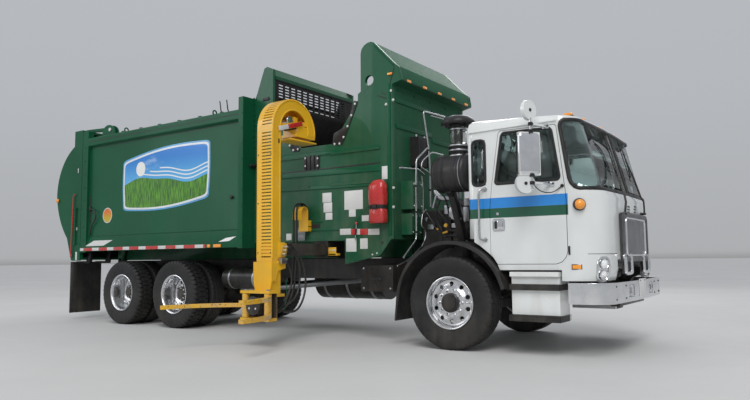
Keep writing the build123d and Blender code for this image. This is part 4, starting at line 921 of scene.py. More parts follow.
# drip rails, grab rails, door furniture, steps
for s, hand in ((-1, "right"), (1, "left")):
    kit = Kit()
    strip(kit, [Vector((0.262 + 1.02 * k / 12, s * 1.141, 2.448 + 0.022 * k / 12)) for k in range(13)], 0.009, 0.016,
          Vector((0, s, 0)), closed=False)
    kit.done("drip_rail_" + hand, "white", "cab")
    kit = Kit()
    kit.tube(smooth_path([(0.446, s * 1.142, 1.790), (0.425, s * 1.165, 1.790), (0.396, s * 1.190, 1.785),
                          (0.392, s * 1.196, 1.740), (0.392, s * 1.196, 1.600), (0.392, s * 1.196, 1.420),
                          (0.392, s * 1.196, 1.290), (0.396, s * 1.190, 1.240), (0.420, s * 1.165, 1.230),
                          (0.440, s * 1.142, 1.232)], resolution=6), 0.0125, 14)
    for x, z in ((0.448, 1.790), (0.441, 1.232)):
        kit.ring((x, s * 1.138, z), (0, s, 0), 0.026, 0.010, 0.012, 20)
    kit.done("grab_rail_" + hand, "tube", "cab")
    # paddle handle in its dished surround, with the lock above
    kit = Kit()
    body = "door_body_" + hand
    frame_pts = rounded([(0.535, s * 1.1395, 1.330), (0.665, s * 1.1395, 1.330), (0.665, s * 1.1395, 1.450),
                         (0.535, s * 1.1395, 1.450)], 0.02)
    strip(kit, frame_pts, 0.009, 0.009, Vector((0, s, 0)))
    kit.slab((0.118, 0.010, 0.108), Matrix.Translation((0.600, s * 1.141, 1.390)), 0.003)
    kit.slab((0.060, 0.020, 0.095), Matrix.Translation((0.620, s * 1.152, 1.390)), 0.008)
    kit.ring((0.590, s * 1.139, 1.512), (0, s, 0), 0.017, 0.006, 0.010, 20)
    kit.lathe([(0, 0), (0.012, 0), (0.012, 0.006), (0.0, 0.007)],
              Matrix.Translation((0.590, s * 1.1395, 1.512)) @ Vector((0, s, 0)).to_track_quat("Z", "Y").to_matrix().to_4x4(), 16)
    kit.done("door_handle_" + hand, "chrome", body)
    kit = Kit()
    kit.slab((0.030, 0.006, 0.084), Matrix.Translation((0.566, s * 1.1465, 1.390)), 0.003)
    for z in (1.10, 2.20):
        kit.slab((0.020, 0.016, 0.090), Matrix.Translation((1.372, s * 1.142, z)), 0.006)
    kit.done("door_dark_trim_" + hand, "plastic", body)
    # treads and side skins of the step box
    for zt, zb, x0, x1, yo, black in ((0.881, 0.832, 0.745, 1.260, 1.200, False), (0.7475, 0.6875, 0.7325, 1.2775, 1.2125, True),
                                      (0.4275, 0.3625, 0.7225, 1.2825, 1.2175, True)):
        kit = Kit()
        inner = 1.168 if zt < 0.88 else 0.90
        kit.box((x0, s * (inner + 0.002), zt - 0.004), (x1, s * yo, zt + 0.002), 0.0015)
        n = 22
        for i in range(n):
            xx = x0 + 0.012 + (x1 - x0 - 0.024) * i / (n - 1)
            kit.slab((0.008, abs(yo - inner) * 0.86, 0.006), Matrix.Translation((xx, s * (inner + yo) / 2, zt + 0.0035)), 0.002)
        if black:
            # a moulded rubber nosing wraps the outer edge and both ends
            kit.box((x0, s * (yo - 0.006), zb), (x1, s * yo, zt + 0.002), 0.004)
            for xe in (x0, x1 - 0.006):
                kit.box((xe, s * 0.92, zb), (xe + 0.006, s * yo, zt + 0.002), 0.003)
            for i in range(3):
                zz = zb + (zt - zb) * (i + 0.7) / 3.2
                kit.slab((x1 - x0 - 0.02, 0.005, 0.006), Matrix.Translation(((x0 + x1) / 2, s * (yo + 0.001), zz)), 0.002)
        kit.done("step_tread_%s_%d" % (hand, int(zt * 1000)), "rubber", "chassis")

# =============================================================== cab front
kit = Kit()
dark = Kit()
amber = Kit()
clear = Kit()
for s, hand in ((-1, "right"), (1, "left")):
    # oval bezel with two stacked lamps, laid on the rounded corner
    lamp_c, lamp_l, lamp_r = cab_hit(604.0, 269.5), cab_hit(599.2, 269.5), cab_hit(609.4, 269.5)
    yc, zc = s * abs(lamp_c.y), lamp_c.z
    hw, hh = abs(lamp_l.y - lamp_r.y) / 2, 0.122

    def lamp_pt(a, b, off):
        return on_cab(yc + a * s, zc + b, off)

    ring_pts, ring_n = [], []
    for k in range(40):
        t = 2 * pi * k / 40
        a, b = hw * abs(cos(t)) ** 0.75 * (1 if cos(t) > 0 else -1), hh * abs(sin(t)) ** 0.55 * (1 if sin(t) > 0 else -1)
        ring_pts.append(lamp_pt(a, b, 0.0))
        ring_n.append(cab_n(yc + a * s, zc + b))
    strip(kit, ring_pts, 0.014, 0.020, ring_n)
    dish = []
    for k in range(40):
        t = 2 * pi * k / 40
        a, b = hw * abs(cos(t)) ** 0.75 * (1 if cos(t) > 0 else -1), hh * abs(sin(t)) ** 0.55 * (1 if sin(t) > 0 else -1)
        dish.append((a, b))
    k0 = len(kit.v)
    kit.put([lamp_pt(a, b, 0.004) for a, b in dish] + [lamp_pt(0, 0, 0.004)], [(i, (i + 1) % 40, 40) for i in range(40)])
    for b in (0.056, -0.056):
        c = lamp_pt(0.0, b, 0.004)
        q = Matrix.Translation(c) @ cab_n(yc, zc + b).to_track_quat("Z", "Y").to_matrix().to_4x4()
        kit.lathe([(0.040, 0.0), (0.054, 0.0), (0.056, 0.010), (0.050, 0.014), (0.044, 0.010)], q, 28, closed=True)
        clear.lathe([(0.0, 0.020), (0.020, 0.018), (0.036, 0.012), (0.045, 0.004), (0.045, 0.0), (0.0, 0.0)], q, 28)
    # turn signal pod on the corner
    p = on_cab(s * 1.127, 1.568, 0.0)
    n = (cab_n(s * 1.11, 1.568) + Vector((0.35, s * 0.15, 0))).normalized()
    q = Matrix.Translation(p - n * 0.004) @ n.to_track_quat("Z", "Y").to_matrix().to_4x4()
    dark.lathe([(0, 0), (0.064, 0), (0.064, 0.028), (0.058, 0.034), (0.0, 0.034)], q, 28)
    amber.lathe([(0.0, 0.082), (0.018, 0.080), (0.036, 0.072), (0.048, 0.058), (0.054, 0.040), (0.054, 0.030),
                 (0.0, 0.030)], q, 28)
    # low side marker
    mk = cab_hit(577.0, 267.0)
    mk = Vector((mk.x, s * abs(mk.y), mk.z))
    mn = cab_n(mk.y, mk.z)
    q = Matrix.Translation(mk + mn * 0.004) @ mn.to_track_quat("X", "Z").to_matrix().to_4x4()
    amber.slab((0.014, 0.088, 0.040), q, 0.004)
    dark.slab((0.006, 0.104, 0.054), q @ Matrix.Translation((-0.004, 0, 0)), 0.002)
    # clearance lamps over the windscreen
    for yy in (0.98, 0.62):
        c = Vector((cab_x(yy, 2.49) - 0.10, s * yy, roof_z(cab_x(yy, 2.49) - 0.10) + 0.014))
        amber.slab((0.090, 0.045, 0.036), Matrix.Translation(c + Vector((0, 0, 0.010))), 0.012)
        dark.slab((0.104, 0.055, 0.014), Matrix.Translation(c + Vector((0, 0, -0.008))), 0.004)
    # cable gland under the windscreen's corner
    g = on_cab(s * 1.128, 1.770, 0.0)
    q = Matrix.Translation(g) @ Vector((0.25, s, 0)).to_track_quat("Z", "Y").to_matrix().to_4x4()
    dark.lathe([(0, 0), (0.020, 0), (0.020, 0.008), (0.012, 0.018), (0.0, 0.020)], q, 16)
c = Vector((cab_x(0, 2.49) - 0.10, 0, roof_z(cab_x(0, 2.49) - 0.10) + 0.014))
amber.slab((0.090, 0.045, 0.036), Matrix.Translation(c + Vector((0, 0, 0.010))), 0.012)
dark.slab((0.104, 0.055, 0.014), Matrix.Translation(c + Vector((0, 0, -0.008))), 0.004)

# grille: deep frame, bright inner trim, fine horizontal mesh
GX = 1.761
for z0, z1, half_y in ((1.004, 1.486, 0.535),):
    outer = rounded([(GX, -half_y, z0), (GX, half_y, z0), (GX, half_y, z1), (GX, -half_y, z1)], 0.05)
    grey = Kit()
    strip(grey, outer, 0.028, 0.016, Vector((1, 0, 0)))
    grey.done("grille_frame", "grille_grey", "cab", slot="grille_grey")
    inner = rounded([(GX, -0.430, 1.045), (GX, 0.430, 1.045), (GX, 0.430, 1.450), (GX, -0.430, 1.450)], 0.05)
    strip(kit, inner, 0.014, 0.018, Vector((1, 0, 0)))
mesh = Kit()
for i in range(46):
    z = 1.040 + 0.0091 * i
    mesh.box((GX - 0.004, -0.50, z), (GX + 0.004, 0.50, z + 0.0042), 0.001)
for i in range(41):
    y = -0.5 + i * 0.025
    mesh.box((GX - 0.006, y - 0.0012, 1.04), (GX + 0.001, y + 0.0012, 1.455), 0.0005)
mesh.done("grille_mesh", "steel", "cab", slot="grille_grey")
# bright U loops hanging under the grille
for s in (-1, 1):
    ya, yb = s * 0.285, s * 0.535
    loop = smooth_path([(GX + 0.006, ya, 1.030), (GX + 0.008, ya, 0.960), (GX + 0.010, ya, 0.890), (GX + 0.010, ya, 0.858),
                        (GX + 0.010, (ya + yb) / 2 - s * 0.05, 0.850), (GX + 0.010, (ya + yb) / 2 + s * 0.05, 0.850),
                        (GX + 0.010, yb, 0.858), (GX + 0.010, yb, 0.890), (GX + 0.008, yb, 0.960),
                        (GX + 0.006, yb, 1.030)], resolution=6)
    kit.tube(loop, 0.022, 16)
    kit.ring((GX - 0.006, ya, 1.030), (1, 0, 0), 0.036, 0.010, 0.022)
    kit.ring((GX - 0.006, yb, 1.030), (1, 0, 0), 0.036, 0.010, 0.022)
    grey = Kit()
    grey.prism(rounded([(ya, 0.845, 0), (yb, 0.845, 0), (yb, 1.00, 0), (ya, 1.00, 0)], 0.02) and
               [(ya, 0.850), (yb, 0.850), (yb, 1.000), (ya, 1.000)], lambda a, b, c: Vector((GX - 0.026 + c, a, b)), 0.020, 0.003)
    grey.done("grille_foot_" + ("right" if s < 0 else "left"), "grille_grey", "cab")
# louvres under the windscreen, two columns of three, beside the wiper spindles
for col in (0, 1):
    for row in range(3):
        p = cab_hit(628.4 + 6.4 * col, 206.8 + 2.8 * row)
        n = cab_n(p.y, p.z)
        q = Matrix.Translation(on_cab(p.y, p.z, 0.001)) @ n.to_track_quat("X", "Z").to_matrix().to_4x4()
        dark.slab((0.007, 0.088, 0.018), q, 0.002)
# panel seam low on both front corners
for s in (-1, 1):
    seam_pts = [on_cab(s * (0.66 + 0.44 * k / 16), 1.062, 0.0002) for k in range(17)]
    seam_n = [cab_n(s * (0.66 + 0.44 * k / 16), 1.062) for k in range(17)]
    strip(dark, seam_pts, 0.0028, 0.0012, seam_n, closed=False)
kit.done("cab_bright_trim", "chrome", "cab", slot="chrome_plate")
dark.done("cab_dark_trim", "plastic", "cab", slot="black_plastic")
amber.done("cab_amber_lamps", "amber", "cab")
clear.done("cab_headlamps", "lamp", "cab")

# wipers: blade, frame and twin arms standing on the spindle below the glass
wip = Kit()
for (bu0, bv0), (bu1, bv1), (au, av) in (((601.2, 134.0), (615.8, 177.7), (621.2, 214.0)),
                                         ((615.4, 140.5), (629.2, 182.0), (640.8, 214.0))):
    top, low, foot = cab_hit(bu0, bv0), cab_hit(bu1, bv1), cab_hit(au, av)

    def skin(p, off):
        return on_cab(p.y, p.z, off)

    n = 10
    blade = [skin(top.lerp(low, k / n), 0.016) for k in range(n + 1)]
    wip.tube(blade, 0.0055, 6)
    wip.tube([skin(top.lerp(low, 0.08 + 0.84 * k / n), 0.030 + 0.010 * sin(pi * k / n)) for k in range(n + 1)], 0.0075, 8)
    for f in (0.12, 0.36, 0.64, 0.88):
        a = skin(top.lerp(low, f), 0.014)
        b = skin(top.lerp(low, f), 0.034)
        wip.rod(a, b, 0.005, 8)
    mid = top.lerp(low, 0.52)
    for dy in (-0.022, 0.022):
        arm_pts = []
        for k in range(11):
            q = mid.lerp(foot, k / 10)
            q = Vector((q.x, q.y + dy * (1 if k > 2 else 0.4), q.z))
            arm_pts.append(skin(q, 0.040 + 0.012 * sin(pi * k / 10)))
        wip.tube(arm_pts, 0.0065, 8)
    for dy in (-0.022, 0.022):
        p = skin(Vector((foot.x, foot.y + dy, foot.z)), 0.0)
        nn = cab_n(foot.y, foot.z)
        wip.rod(p - nn * 0.004, p + nn * 0.055, 0.014, 14)
    wip.slab((0.014, 0.075, 0.030), Matrix.Translation(skin(foot, 0.008)), 0.004)
wip.done("wipers", "black_satin", "cab")

# bumper furniture: pins in the recesses, blank plate, bolts, lower air dam edge
kit, dark, plate = Kit(), Kit(), Kit()
for s in (-1, 1):
    for dy in (-0.085, 0.085):
        kit.rod((1.778, s * 0.4475 + dy, 0.668 - 0.062), (1.778, s * 0.4475 + dy, 0.668 - 0.030), 0.0165, 14)
        kit.rod((1.778, s * 0.4475 + dy, 0.668 + 0.030), (1.778, s * 0.4475 + dy, 0.668 + 0.062), 0.0165, 14)
        kit.rod((1.790, s * 0.4475 + dy, 0.668 - 0.056), (1.790, s * 0.4475 + dy, 0.668 + 0.056), 0.008, 12)
    rim = rounded([(1.8035, s * 0.320, 0.605), (1.8035, s * 0.575, 0.605), (1.7995, s * 0.575, 0.735), (1.7995, s * 0.320, 0.735)], 0.01)
    for y in (0.66, 0.98):
        dark.bolt((1.808 - 0.030 * (y / 1.02) ** 2, s * y, 0.600), (1, 0, 0), 0.010, 0.007)
        dark.bolt((1.808 - 0.030 * (y / 1.02) ** 2, s * y, 0.730), (1, 0, 0), 0.010, 0.007)
plate.slab((0.004, 0.305, 0.190), Matrix.Translation((1.8150, 0.0, 0.690)), 0.0015)
dark.slab((0.006, 0.26, 0.15), Matrix.Translation((1.8105, 0.0, 0.690)), 0.002)
for y in (-0.10, 0.10):
    dark.bolt((1.8165, y, 0.765), (1, 0, 0), 0.007, 0.003)
frame_edge = rounded([(1.8105, -0.155, 0.612), (1.8105, 0.155, 0.612), (1.8105, 0.155, 0.768), (1.8105, -0.155, 0.768)], 0.012)
dark.box((1.60, -0.55, 0.500), (1.70, 0.55, 0.556), 0.010)
kit.done("bumper_pins", "chrome", "chassis")
dark.done("bumper_bolts", "black_satin", "chassis")
plate.done("front_plate", "blank_plate", "chassis")

# =============================================================== mirrors
MIRROR_T = radians(42.0)
for s, hand in ((-1, "right"), (1, "left")):
    body = "door_body_" + hand
    turn = Matrix.Rotation(s * MIRROR_T, 4, "Z")
    bright, glassy, dark, bowls = Kit(), Kit(), Kit(), Kit()
    head = Matrix.Translation((1.052, s * 1.357, 2.105)) @ turn
    # crowned stainless shell: rounded outline lofted from the mirror's rim to its bowed back
    outline = rounded([(0, -0.124, -0.232), (0, 0.124, -0.232), (0, 0.124, 0.232), (0, -0.124, 0.232)], 0.045)
    layers = [(-0.029, 0.985), (-0.024, 1.0), (0.006, 1.0), (0.020, 0.965), (0.030, 0.86), (0.0345, 0.60), (0.036, 0.25)]
    rows = []
    for h, k in layers:
        rows.append([head @ Vector((h, p.y * k if k > 0.9 else p.y * k, p.z * (k if k > 0.9 else 1 - (1 - k) * 0.55))) for p in outline])
    n = len(outline)
    verts = [p for row in rows for p in row]
    faces = [(i * n + j, i * n + (j + 1) % n, (i + 1) * n + (j + 1) % n, (i + 1) * n + j)
             for i in range(len(rows) - 1) for j in range(n)]
    faces.append(tuple(range((len(rows) - 1) * n, len(rows) * n)))
    bright.put(verts, faces)
    k = 0.95
    gl = [head @ Vector((-0.0275, p.y * k, p.z * k)) for p in outline]
    glassy.put(gl + [head @ Vector((-0.0235, p.y * k, p.z * k)) for p in outline],
               [tuple(reversed(range(n))), tuple(range(n, 2 * n))] + [(j, (j + 1) % n, n + (j + 1) % n, n + j) for j in range(n)])
    rim_pts = [head @ Vector((-0.0285, p.y * 0.985, p.z * 0.985)) for p in outline]
    strip(dark, rim_pts, 0.006, 0.004, (head.to_3x3() @ Vector((-1, 0, 0))))
    # round heads: a spun bowl and a domed glass
    for x, y, z, r, deg in ((1.015, 1.392, 1.795, 0.104, 42.0), (1.062, 1.357, 2.566, 0.105, 16.0)):
        q = Matrix.Translation((x, s * y, z)) @ Matrix.Rotation(s * radians(deg), 4, "Z") @ Matrix.Rotation(radians(90), 4, "Y")
        bowls.lathe([(r, -0.018), (r, -0.006), (r * 0.96, 0.004), (r * 0.86, 0.012), (r * 0.62, 0.018), (r * 0.3, 0.0215),
                      (0.0, 0.0222)], q, 40)
        bright.lathe([(r * 0.94, -0.020), (r, -0.020), (r, -0.012), (r * 0.94, -0.012)], q, 40, closed=True)
        glassy.lathe([(r * 0.95, -0.014), (r * 0.8, -0.0185), (r * 0.5, -0.0215), (0.0, -0.022), (0.0, -0.012), (r * 0.95, -0.012)],
                     q, 40)
        dark.lathe([(0, 0.018), (0.018, 0.018), (0.018, 0.028), (0.0, 0.030)], q, 16)
    # stay tube with its clamps, top stub and lower loop
    bright.tube(smooth_path([(1.080, s * 1.357, 1.735), (1.080, s * 1.357, 1.90), (1.080, s * 1.357, 2.10),
                             (1.080, s * 1.357, 2.30), (1.080, s * 1.357, 2.485)], resolution=4), 0.0125, 14)
    for z in (1.800, 1.880, 2.340, 2.418):
        dark.ring((1.080, s * 1.357, z - 0.018), (0, 0, 1), 0.026, 0.011, 0.036, 18)
        dark.bolt((1.104, s * 1.357, z), (1, 0, 0), 0.008, 0.006, False)
    for z, x0 in ((2.418, 1.164), (1.800, 1.204)):
        bright.tube([(x0, s * 1.142, z), (x0 - 0.02, s * 1.19, z), (1.088, s * 1.330, z), (1.080, s * 1.357, z)], 0.0135, 12)
        bright.slab((0.075, 0.014, 0.055), Matrix.Translation((x0, s * 1.146, z)), 0.004)
        for dx in (-0.024, 0.024):
            dark.bolt((x0 + dx, s * 1.153, z), (0, s, 0), 0.0075, 0.006)
    shell = bright.done("mirror_shells_" + hand, "chrome", body, 40)
    glassy.done("mirror_faces_" + hand, "mirror", body)
    bowls.done("mirror_bowls_" + hand, "chrome_bowl", body, 40)
    # heater lead from the arm to the gland by the windscreen
    dark.tube(smooth_path([(1.086, s * 1.345, 1.790), (1.110, s * 1.300, 1.735), (1.170, s * 1.230, 1.700), (1.235, s * 1.180, 1.705),
                           (1.290, s * 1.150, 1.745), (1.318, s * 1.1425, 1.770)], resolution=6), 0.0055, 8)
    dark.rod((1.322, s * 1.140, 1.772), (1.322, s * 1.156, 1.772), 0.018, 14)
    dark.done("mirror_clamps_" + hand, "black_satin", body)

# =============================================================== paint that changes by place, and painted shade inside the hopper
def zoned(name, color, other, mask, rough=0.34, dust=0.12, low=0.9, high=3.4, rust=(0.10, 0.05, 0.03), worn=0.62, coat=0.2):
    """two colours on one node: the mask (1 where the second colour lies) is built from object coordinates; inside the
    hopper and under its screen the second colour is painted shade, on the cooler and the carriage it is a second coat,
    on the sleeve and the boom it darkens the part below z 1.30 or inboard of y -1.75
    """
    m = Mat(name)
    k = mask(m)
    tone = m.mix(m.ease(m.noise(0.9, 3.0), 0.3, 0.7), [c * 0.88 for c in color], [min(1, c * 1.08) for c in color])
    dark = m.mix(m.ease(m.noise(5.0, 5.0), 0.3, 0.7), [c * 0.65 for c in other], [min(1, c * 1.35) for c in other])
    flake = m.ease(m.noise(21.0, 6.0, 0.66), worn, worn + 0.03)
    dark = m.mix(flake, dark, rust)
    dirt = grime(m, low, high, dust)
    m.set(base=m.mix(dirt, m.mix(k, tone, dark), DUST), coat=m.ease(k, 0.0, 1.0, coat, 0.0), spec=0.3)
    m.set(rough=m.math("ADD", m.math("MULTIPLY", dirt, 0.4), m.math("ADD", m.ease(k, 0.0, 1.0, 0.0, 0.12),
                                                                   m.ease(m.noise(24.0, 3.0), 0.3, 0.7, rough, rough + 0.09))))
    n = m.bump(m.noise(420.0, 2.0), 0.05, 0.0006)
    return m.normal(m.bump(m.noise(14.0, 5.0, 0.6), 0.12, 0.003, n)).m


def less(m, v, edge, soft=0.0008):
    return m.ease(v, edge - soft, edge + soft, 1.0, 0.0)


def more(m, v, edge, soft=0.0008):
    return m.ease(v, edge - soft, edge + soft, 0.0, 1.0)


def both(m, *parts):
    out = parts[0]
    for p in parts[1:]:
        out = m.math("MULTIPLY", out, p)
    return out


# painted shade for the hopper's inner faces and head, which lie in shadow
INSIDE_SHADE = (0.020, 0.019, 0.018)
BLACK = (0.014, 0.014, 0.015)
ZONES = {
    # hopper sides: painted shade on the inner faces (|y| < 0.933)
    "hopper_sides": zoned("hopper_side_green_painted_shade", GREEN, INSIDE_SHADE, lambda m: less(m, m.math("ABSOLUTE", m.xyz(1)), 0.933)),
    # hopper head: painted shade on its inner side, behind x -0.9285 and below z 3.22
    "hopper_front": zoned("hopper_head_green_painted_shade", GREEN, INSIDE_SHADE, lambda m: both(m, less(m, m.xyz(0), -0.9285), less(m, m.xyz(2), 3.22)),
                          0.58, coat=0.0),
    # hopper screen: black painted shadow below the lip (z 3.27) and, ahead of x -2.945, below z 3.655
    "hopper_screen": zoned("hopper_screen_painted_shadow", GREEN, BLACK, lambda m: m.math(
        "ADD", less(m, m.xyz(2), 3.27), both(m, more(m, m.xyz(0), -2.945), less(m, m.xyz(2), 3.655)), True), 0.5, worn=0.8, coat=0.0),
    # sleeve: near black below z 1.30, yellow above
    "arm_sleeve": zoned("sleeve_black", YELLOW, BLACK, lambda m: less(m, m.xyz(2), 1.30), worn=0.7),
    # boom: dark where y > -1.75, yellow outboard
    "reach_boom": zoned("boom_yellow_dark_inboard", YELLOW, (0.030, 0.028, 0.026), lambda m: more(m, m.xyz(1), -1.75), worn=0.6),
    "lift_carriage": zoned("carriage_paint", YELLOW, BLACK, lambda m: both(
        m, more(m, m.xyz(2), 0.354), less(m, m.xyz(2), 0.638), less(m, m.xyz(1), -2.0825)), 0.36, 0.2, 0.2, 2.2, worn=0.72),
    "oil_cooler": zoned("cooler_black_over_green", GREEN, BLACK, lambda m: more(m, m.xyz(2), 2.10), worn=0.8),
}
for n, mat in ZONES.items():
    NODES[n].data.materials.clear()
    NODES[n].data.materials.append(mat)

# =============================================================== cushions
def cushion(kit_v, kit_f, lo, hi, crown, power=5.0, cuts=9, channels=0, axis=2):
    """a stuffed, crowned block: rounded all over, swollen faces, sewn channels across its width"""
    bm = bmesh.new()
    bmesh.ops.create_cube(bm, size=2.0)
    bmesh.ops.subdivide_edges(bm, edges=list(bm.edges), cuts=cuts, use_grid_fill=True)
    c = Vector([(a + b) / 2 for a, b in zip(lo, hi)])
    h = Vector([(b - a) / 2 for a, b in zip(lo, hi)])
    for v in bm.verts:
        p = v.co.copy()
        k = (abs(p.x) ** power + abs(p.y) ** power + abs(p.z) ** power) ** (-1.0 / power)
        q = p * k
        swell = (1 - q[(axis + 1) % 3] ** 2) * (1 - q[(axis + 2) % 3] ** 2)
        w = Vector((q.x * (h.x - crown * 0.4), q.y * (h.y - crown * 0.4), q.z * (h.z - crown * 0.4)))
        w[axis] += (1 if q[axis] > 0 else -1) * abs(q[axis]) * crown * 0.75 * swell
        if channels and abs(q[axis]) > 0.5:
            g = abs(sin(pi * channels * (q.y + 1) / 2))
            w[axis] -= (1 if q[axis] > 0 else -1) * 0.007 * (1 - min(1.0, g * 3.0))
        v.co = c + w
    bm.verts.index_update()
    k0 = len(kit_v)
    kit_v.extend(v.co.copy() for v in bm.verts)
    kit_f.extend([tuple(v.index + k0 for v in f.verts) for f in bm.faces])
    bm.free()


kit = Kit()
piping = Kit()
for s in (-1, 1):
    y0, y1 = sorted((s * 0.545, s * 1.015))
    cushion(kit.v, kit.f, (0.372, y0, 1.306), (0.800, y1, 1.445), 0.018, 5.0, 9, 3, 2)
    y0, y1 = sorted((s * 0.560, s * 1.000))
    cushion(kit.v, kit.f, (0.312, y0, 1.400), (0.452, y1, 1.900), 0.020, 5.0, 9, 3, 0)
    y0, y1 = sorted((s * 0.640, s * 0.920))
    cushion(kit.v, kit.f, (0.318, y0, 1.885), (0.430, y1, 2.058), 0.016, 4.0, 7, 0, 0)
    mid = s * 0.78
    edge = rounded([(0.385, mid - 0.222, 1.372), (0.788, mid - 0.222, 1.372), (0.788, mid + 0.222, 1.372),
                    (0.385, mid + 0.222, 1.372)], 0.05)
    piping.tube(edge + [edge[0]], 0.004, 6, caps=False)
    piping.box((0.42, mid - 0.17, 1.300), (0.74, mid + 0.17, 1.318), 0.006)
seat = kit.done("seat_cushions", "vinyl", "cab", 60)
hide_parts("seats")
piping.done("seat_piping", "gasket", "cab")

# =============================================================== dashboard furniture
dark, bright = Kit(), Kit()
wheel_c = Vector((1.200, 0.780, 1.720))
ax = Vector((-0.62, 0.0, 0.78)).normalized()
q = Matrix.Translation(wheel_c) @ ax.to_track_quat("Z", "Y").to_matrix().to_4x4()
rim_pts = [q @ Vector((0.212 * cos(2 * pi * k / 40), 0.212 * sin(2 * pi * k / 40), 0.012)) for k in range(41)]
dark.tube(rim_pts, 0.0155, 12, caps=False)
for k in range(3):
    a = 2 * pi * k / 3 + 0.5
    dark.tube([q @ Vector((0.03 * cos(a), 0.03 * sin(a), 0.012)), q @ Vector((0.205 * cos(a), 0.205 * sin(a), 0.014))], 0.010, 8)
dark.lathe([(0, 0.030), (0.030, 0.028), (0.046, 0.016), (0.046, 0.0), (0.0, 0.0)], q, 24)
for i in range(4):
    for yy in (0.62, 0.90):
        g = Vector((1.300, yy - 0.05 + 0.035 * i, 1.690))
        bright.ring(g + Vector((-0.012, 0, 0)), (-1, 0, 0.3), 0.015, 0.011, 0.006, 16)
for i in range(9):
    dark.slab((0.010, 0.016, 0.020), Matrix.Translation((1.297, -0.20 + 0.045 * i, 1.640)), 0.003)
for i in range(3):
    dark.slab((0.010, 0.110, 0.045), Matrix.Translation((1.297, -0.86 + 0.15 * i, 1.675)), 0.006)
dark.done("dash_controls", "plastic", "cab")
bright.done("dash_gauges", "chrome", "cab")

# =============================================================== air cleaner: rain cap, clear bowl, ribbed canister, elbow
kit, clear, bright = Kit(), Kit(), Kit()
ax, ay = 0.020, -0.930
up_at = Matrix.Translation((ax, ay, 0))
kit.lathe([(0, 2.716), (0.060, 2.716), (0.118, 2.706), (0.160, 2.686), (0.192, 2.658), (0.203, 2.636), (0.204, 2.618),
           (0.198, 2.604), (0.186, 2.596), (0.172, 2.600), (0.120, 2.612), (0.100, 2.612), (0.0, 2.612)], up_at, 56)
for k in range(28):
    a = 2 * pi * k / 28
    kit.slab((0.004, 0.012, 0.030), up_at @ Matrix.Rotation(a, 4, "Z") @ Matrix.Translation((0.150, 0, 2.594)), 0.001)
kit.lathe([(0.088, 2.606), (0.104, 2.606), (0.106, 2.588), (0.104, 2.572), (0.088, 2.572)], up_at, 48, closed=True)
clear.lathe([(0.092, 2.574), (0.100, 2.566), (0.102, 2.540), (0.102, 2.400), (0.099, 2.372), (0.094, 2.366), (0.092, 2.372),
             (0.094, 2.400), (0.094, 2.540), (0.088, 2.560)], up_at, 48, closed=True)
kit.lathe([(0.050, 2.570), (0.055, 2.560), (0.055, 2.380), (0.050, 2.370), (0, 2.370), (0, 2.570)], up_at, 24)
bright.lathe([(0.101, 2.556), (0.106, 2.553), (0.106, 2.541), (0.101, 2.538)], up_at, 48, closed=True)
for z in (2.352, 2.296, 2.232):
    bright.lathe([(0.098, z - 0.008), (0.1185, z - 0.008), (0.1205, z), (0.1185, z + 0.008), (0.098, z + 0.008)], up_at, 48, closed=True)
rib = [(0.0, 2.362), (0.110, 2.362)]
for i in range(9):
    z = 2.350 - 0.014 * i
    rib += [(0.118, z), (0.112, z - 0.007)]
rib += [(0.114, 2.214), (0.128, 2.200), (0.130, 2.170), (0.0, 2.170)]
kit.lathe(rib, up_at, 48)
along = Matrix.Translation((0, ay, 2.030)) @ Matrix.Rotation(radians(90), 4, "Y")
can = [(0.0, -0.278), (0.090, -0.278), (0.100, -0.270), (0.180, -0.262), (0.205, -0.250), (0.216, -0.232)]
for i in range(5):
    x = -0.214 + 0.030 * i
    can += [(0.2245, x), (0.2245, x + 0.010), (0.2195, x + 0.015), (0.2195, x + 0.023)]
can += [(0.222, -0.060), (0.222, 0.070), (0.2245, 0.080), (0.2248, 0.098), (0.2205, 0.106), (0.2205, 0.118), (0.2245, 0.126),
        (0.2245, 0.142), (0.218, 0.158), (0.196, 0.176), (0.110, 0.190), (0.086, 0.196), (0.040, 0.196), (0.0, 0.194)]
kit.lathe(can, along, 72)
bright.lathe([(0.2235, 0.108), (0.2248, 0.109), (0.2248, 0.116), (0.2235, 0.117)], along, 72, closed=True)
# neck between the bowl's base and the canister
kit.lathe([(0.0, 2.16), (0.150, 2.16), (0.140, 2.186), (0.126, 2.204), (0.0, 2.204)], up_at, 40)
# round outlet at the rear with its clamp, elbow towards the engine
kit.tube(smooth_path([(-0.060, -0.870, 1.950), (-0.060, -0.72, 1.950), (-0.060, -0.60, 1.950), (-0.060, -0.45, 1.950),
                      (-0.060, -0.315, 1.950)], resolution=6), 0.074, 24)
for y in (-0.56, -0.44, -0.36):
    bright.ring((-0.060, y, 1.950), (0, 1, 0), 0.0785, 0.070, 0.014, 32)
kit.rod((-0.258, -0.930, 2.010), (-0.279, -0.930, 2.010), 0.075, 28)
bright.ring((-0.262, -0.930, 2.010), (-1, 0, 0), 0.081, 0.072, 0.010, 32)
# saddle straps and stand
for x in (-0.130, 0.040):
    kit.lathe([(0.2235, x - 0.018), (0.2248, x - 0.018), (0.2248, x + 0.018), (0.2235, x + 0.018)], along, 60, closed=True)
kit.prism([(-0.434, 0.960), (-0.434, 1.040), (-0.870, 1.860), (-0.990, 1.860), (-0.990, 1.800), (-0.910, 1.760), (-0.560, 1.000),
           (-0.560, 0.960)], lambda a_, b_, c_: Vector((-0.140 + c_, a_, b_)), 0.080, 0.006)
for y, z in ((-0.620, 1.235), (-0.760, 1.500)):
    bright.bolt((-0.060, y, z), (1, 0, 0), 0.012, 0.009)
cleaner = kit.done("air_cleaner_shell", "plastic", "chassis", 34)
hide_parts("air_cleaner")
clear.done("air_cleaner_bowl", "clear", "chassis")
bright.done("air_cleaner_bands", "steel", "chassis")

# =============================================================== between hopper and cab: pipes, box bolts, engine side
pipes, dark, pale, bolts, yellow, eng = Kit(), Kit(), Kit(), Kit(), Kit(), Kit()
PX0 = -0.640


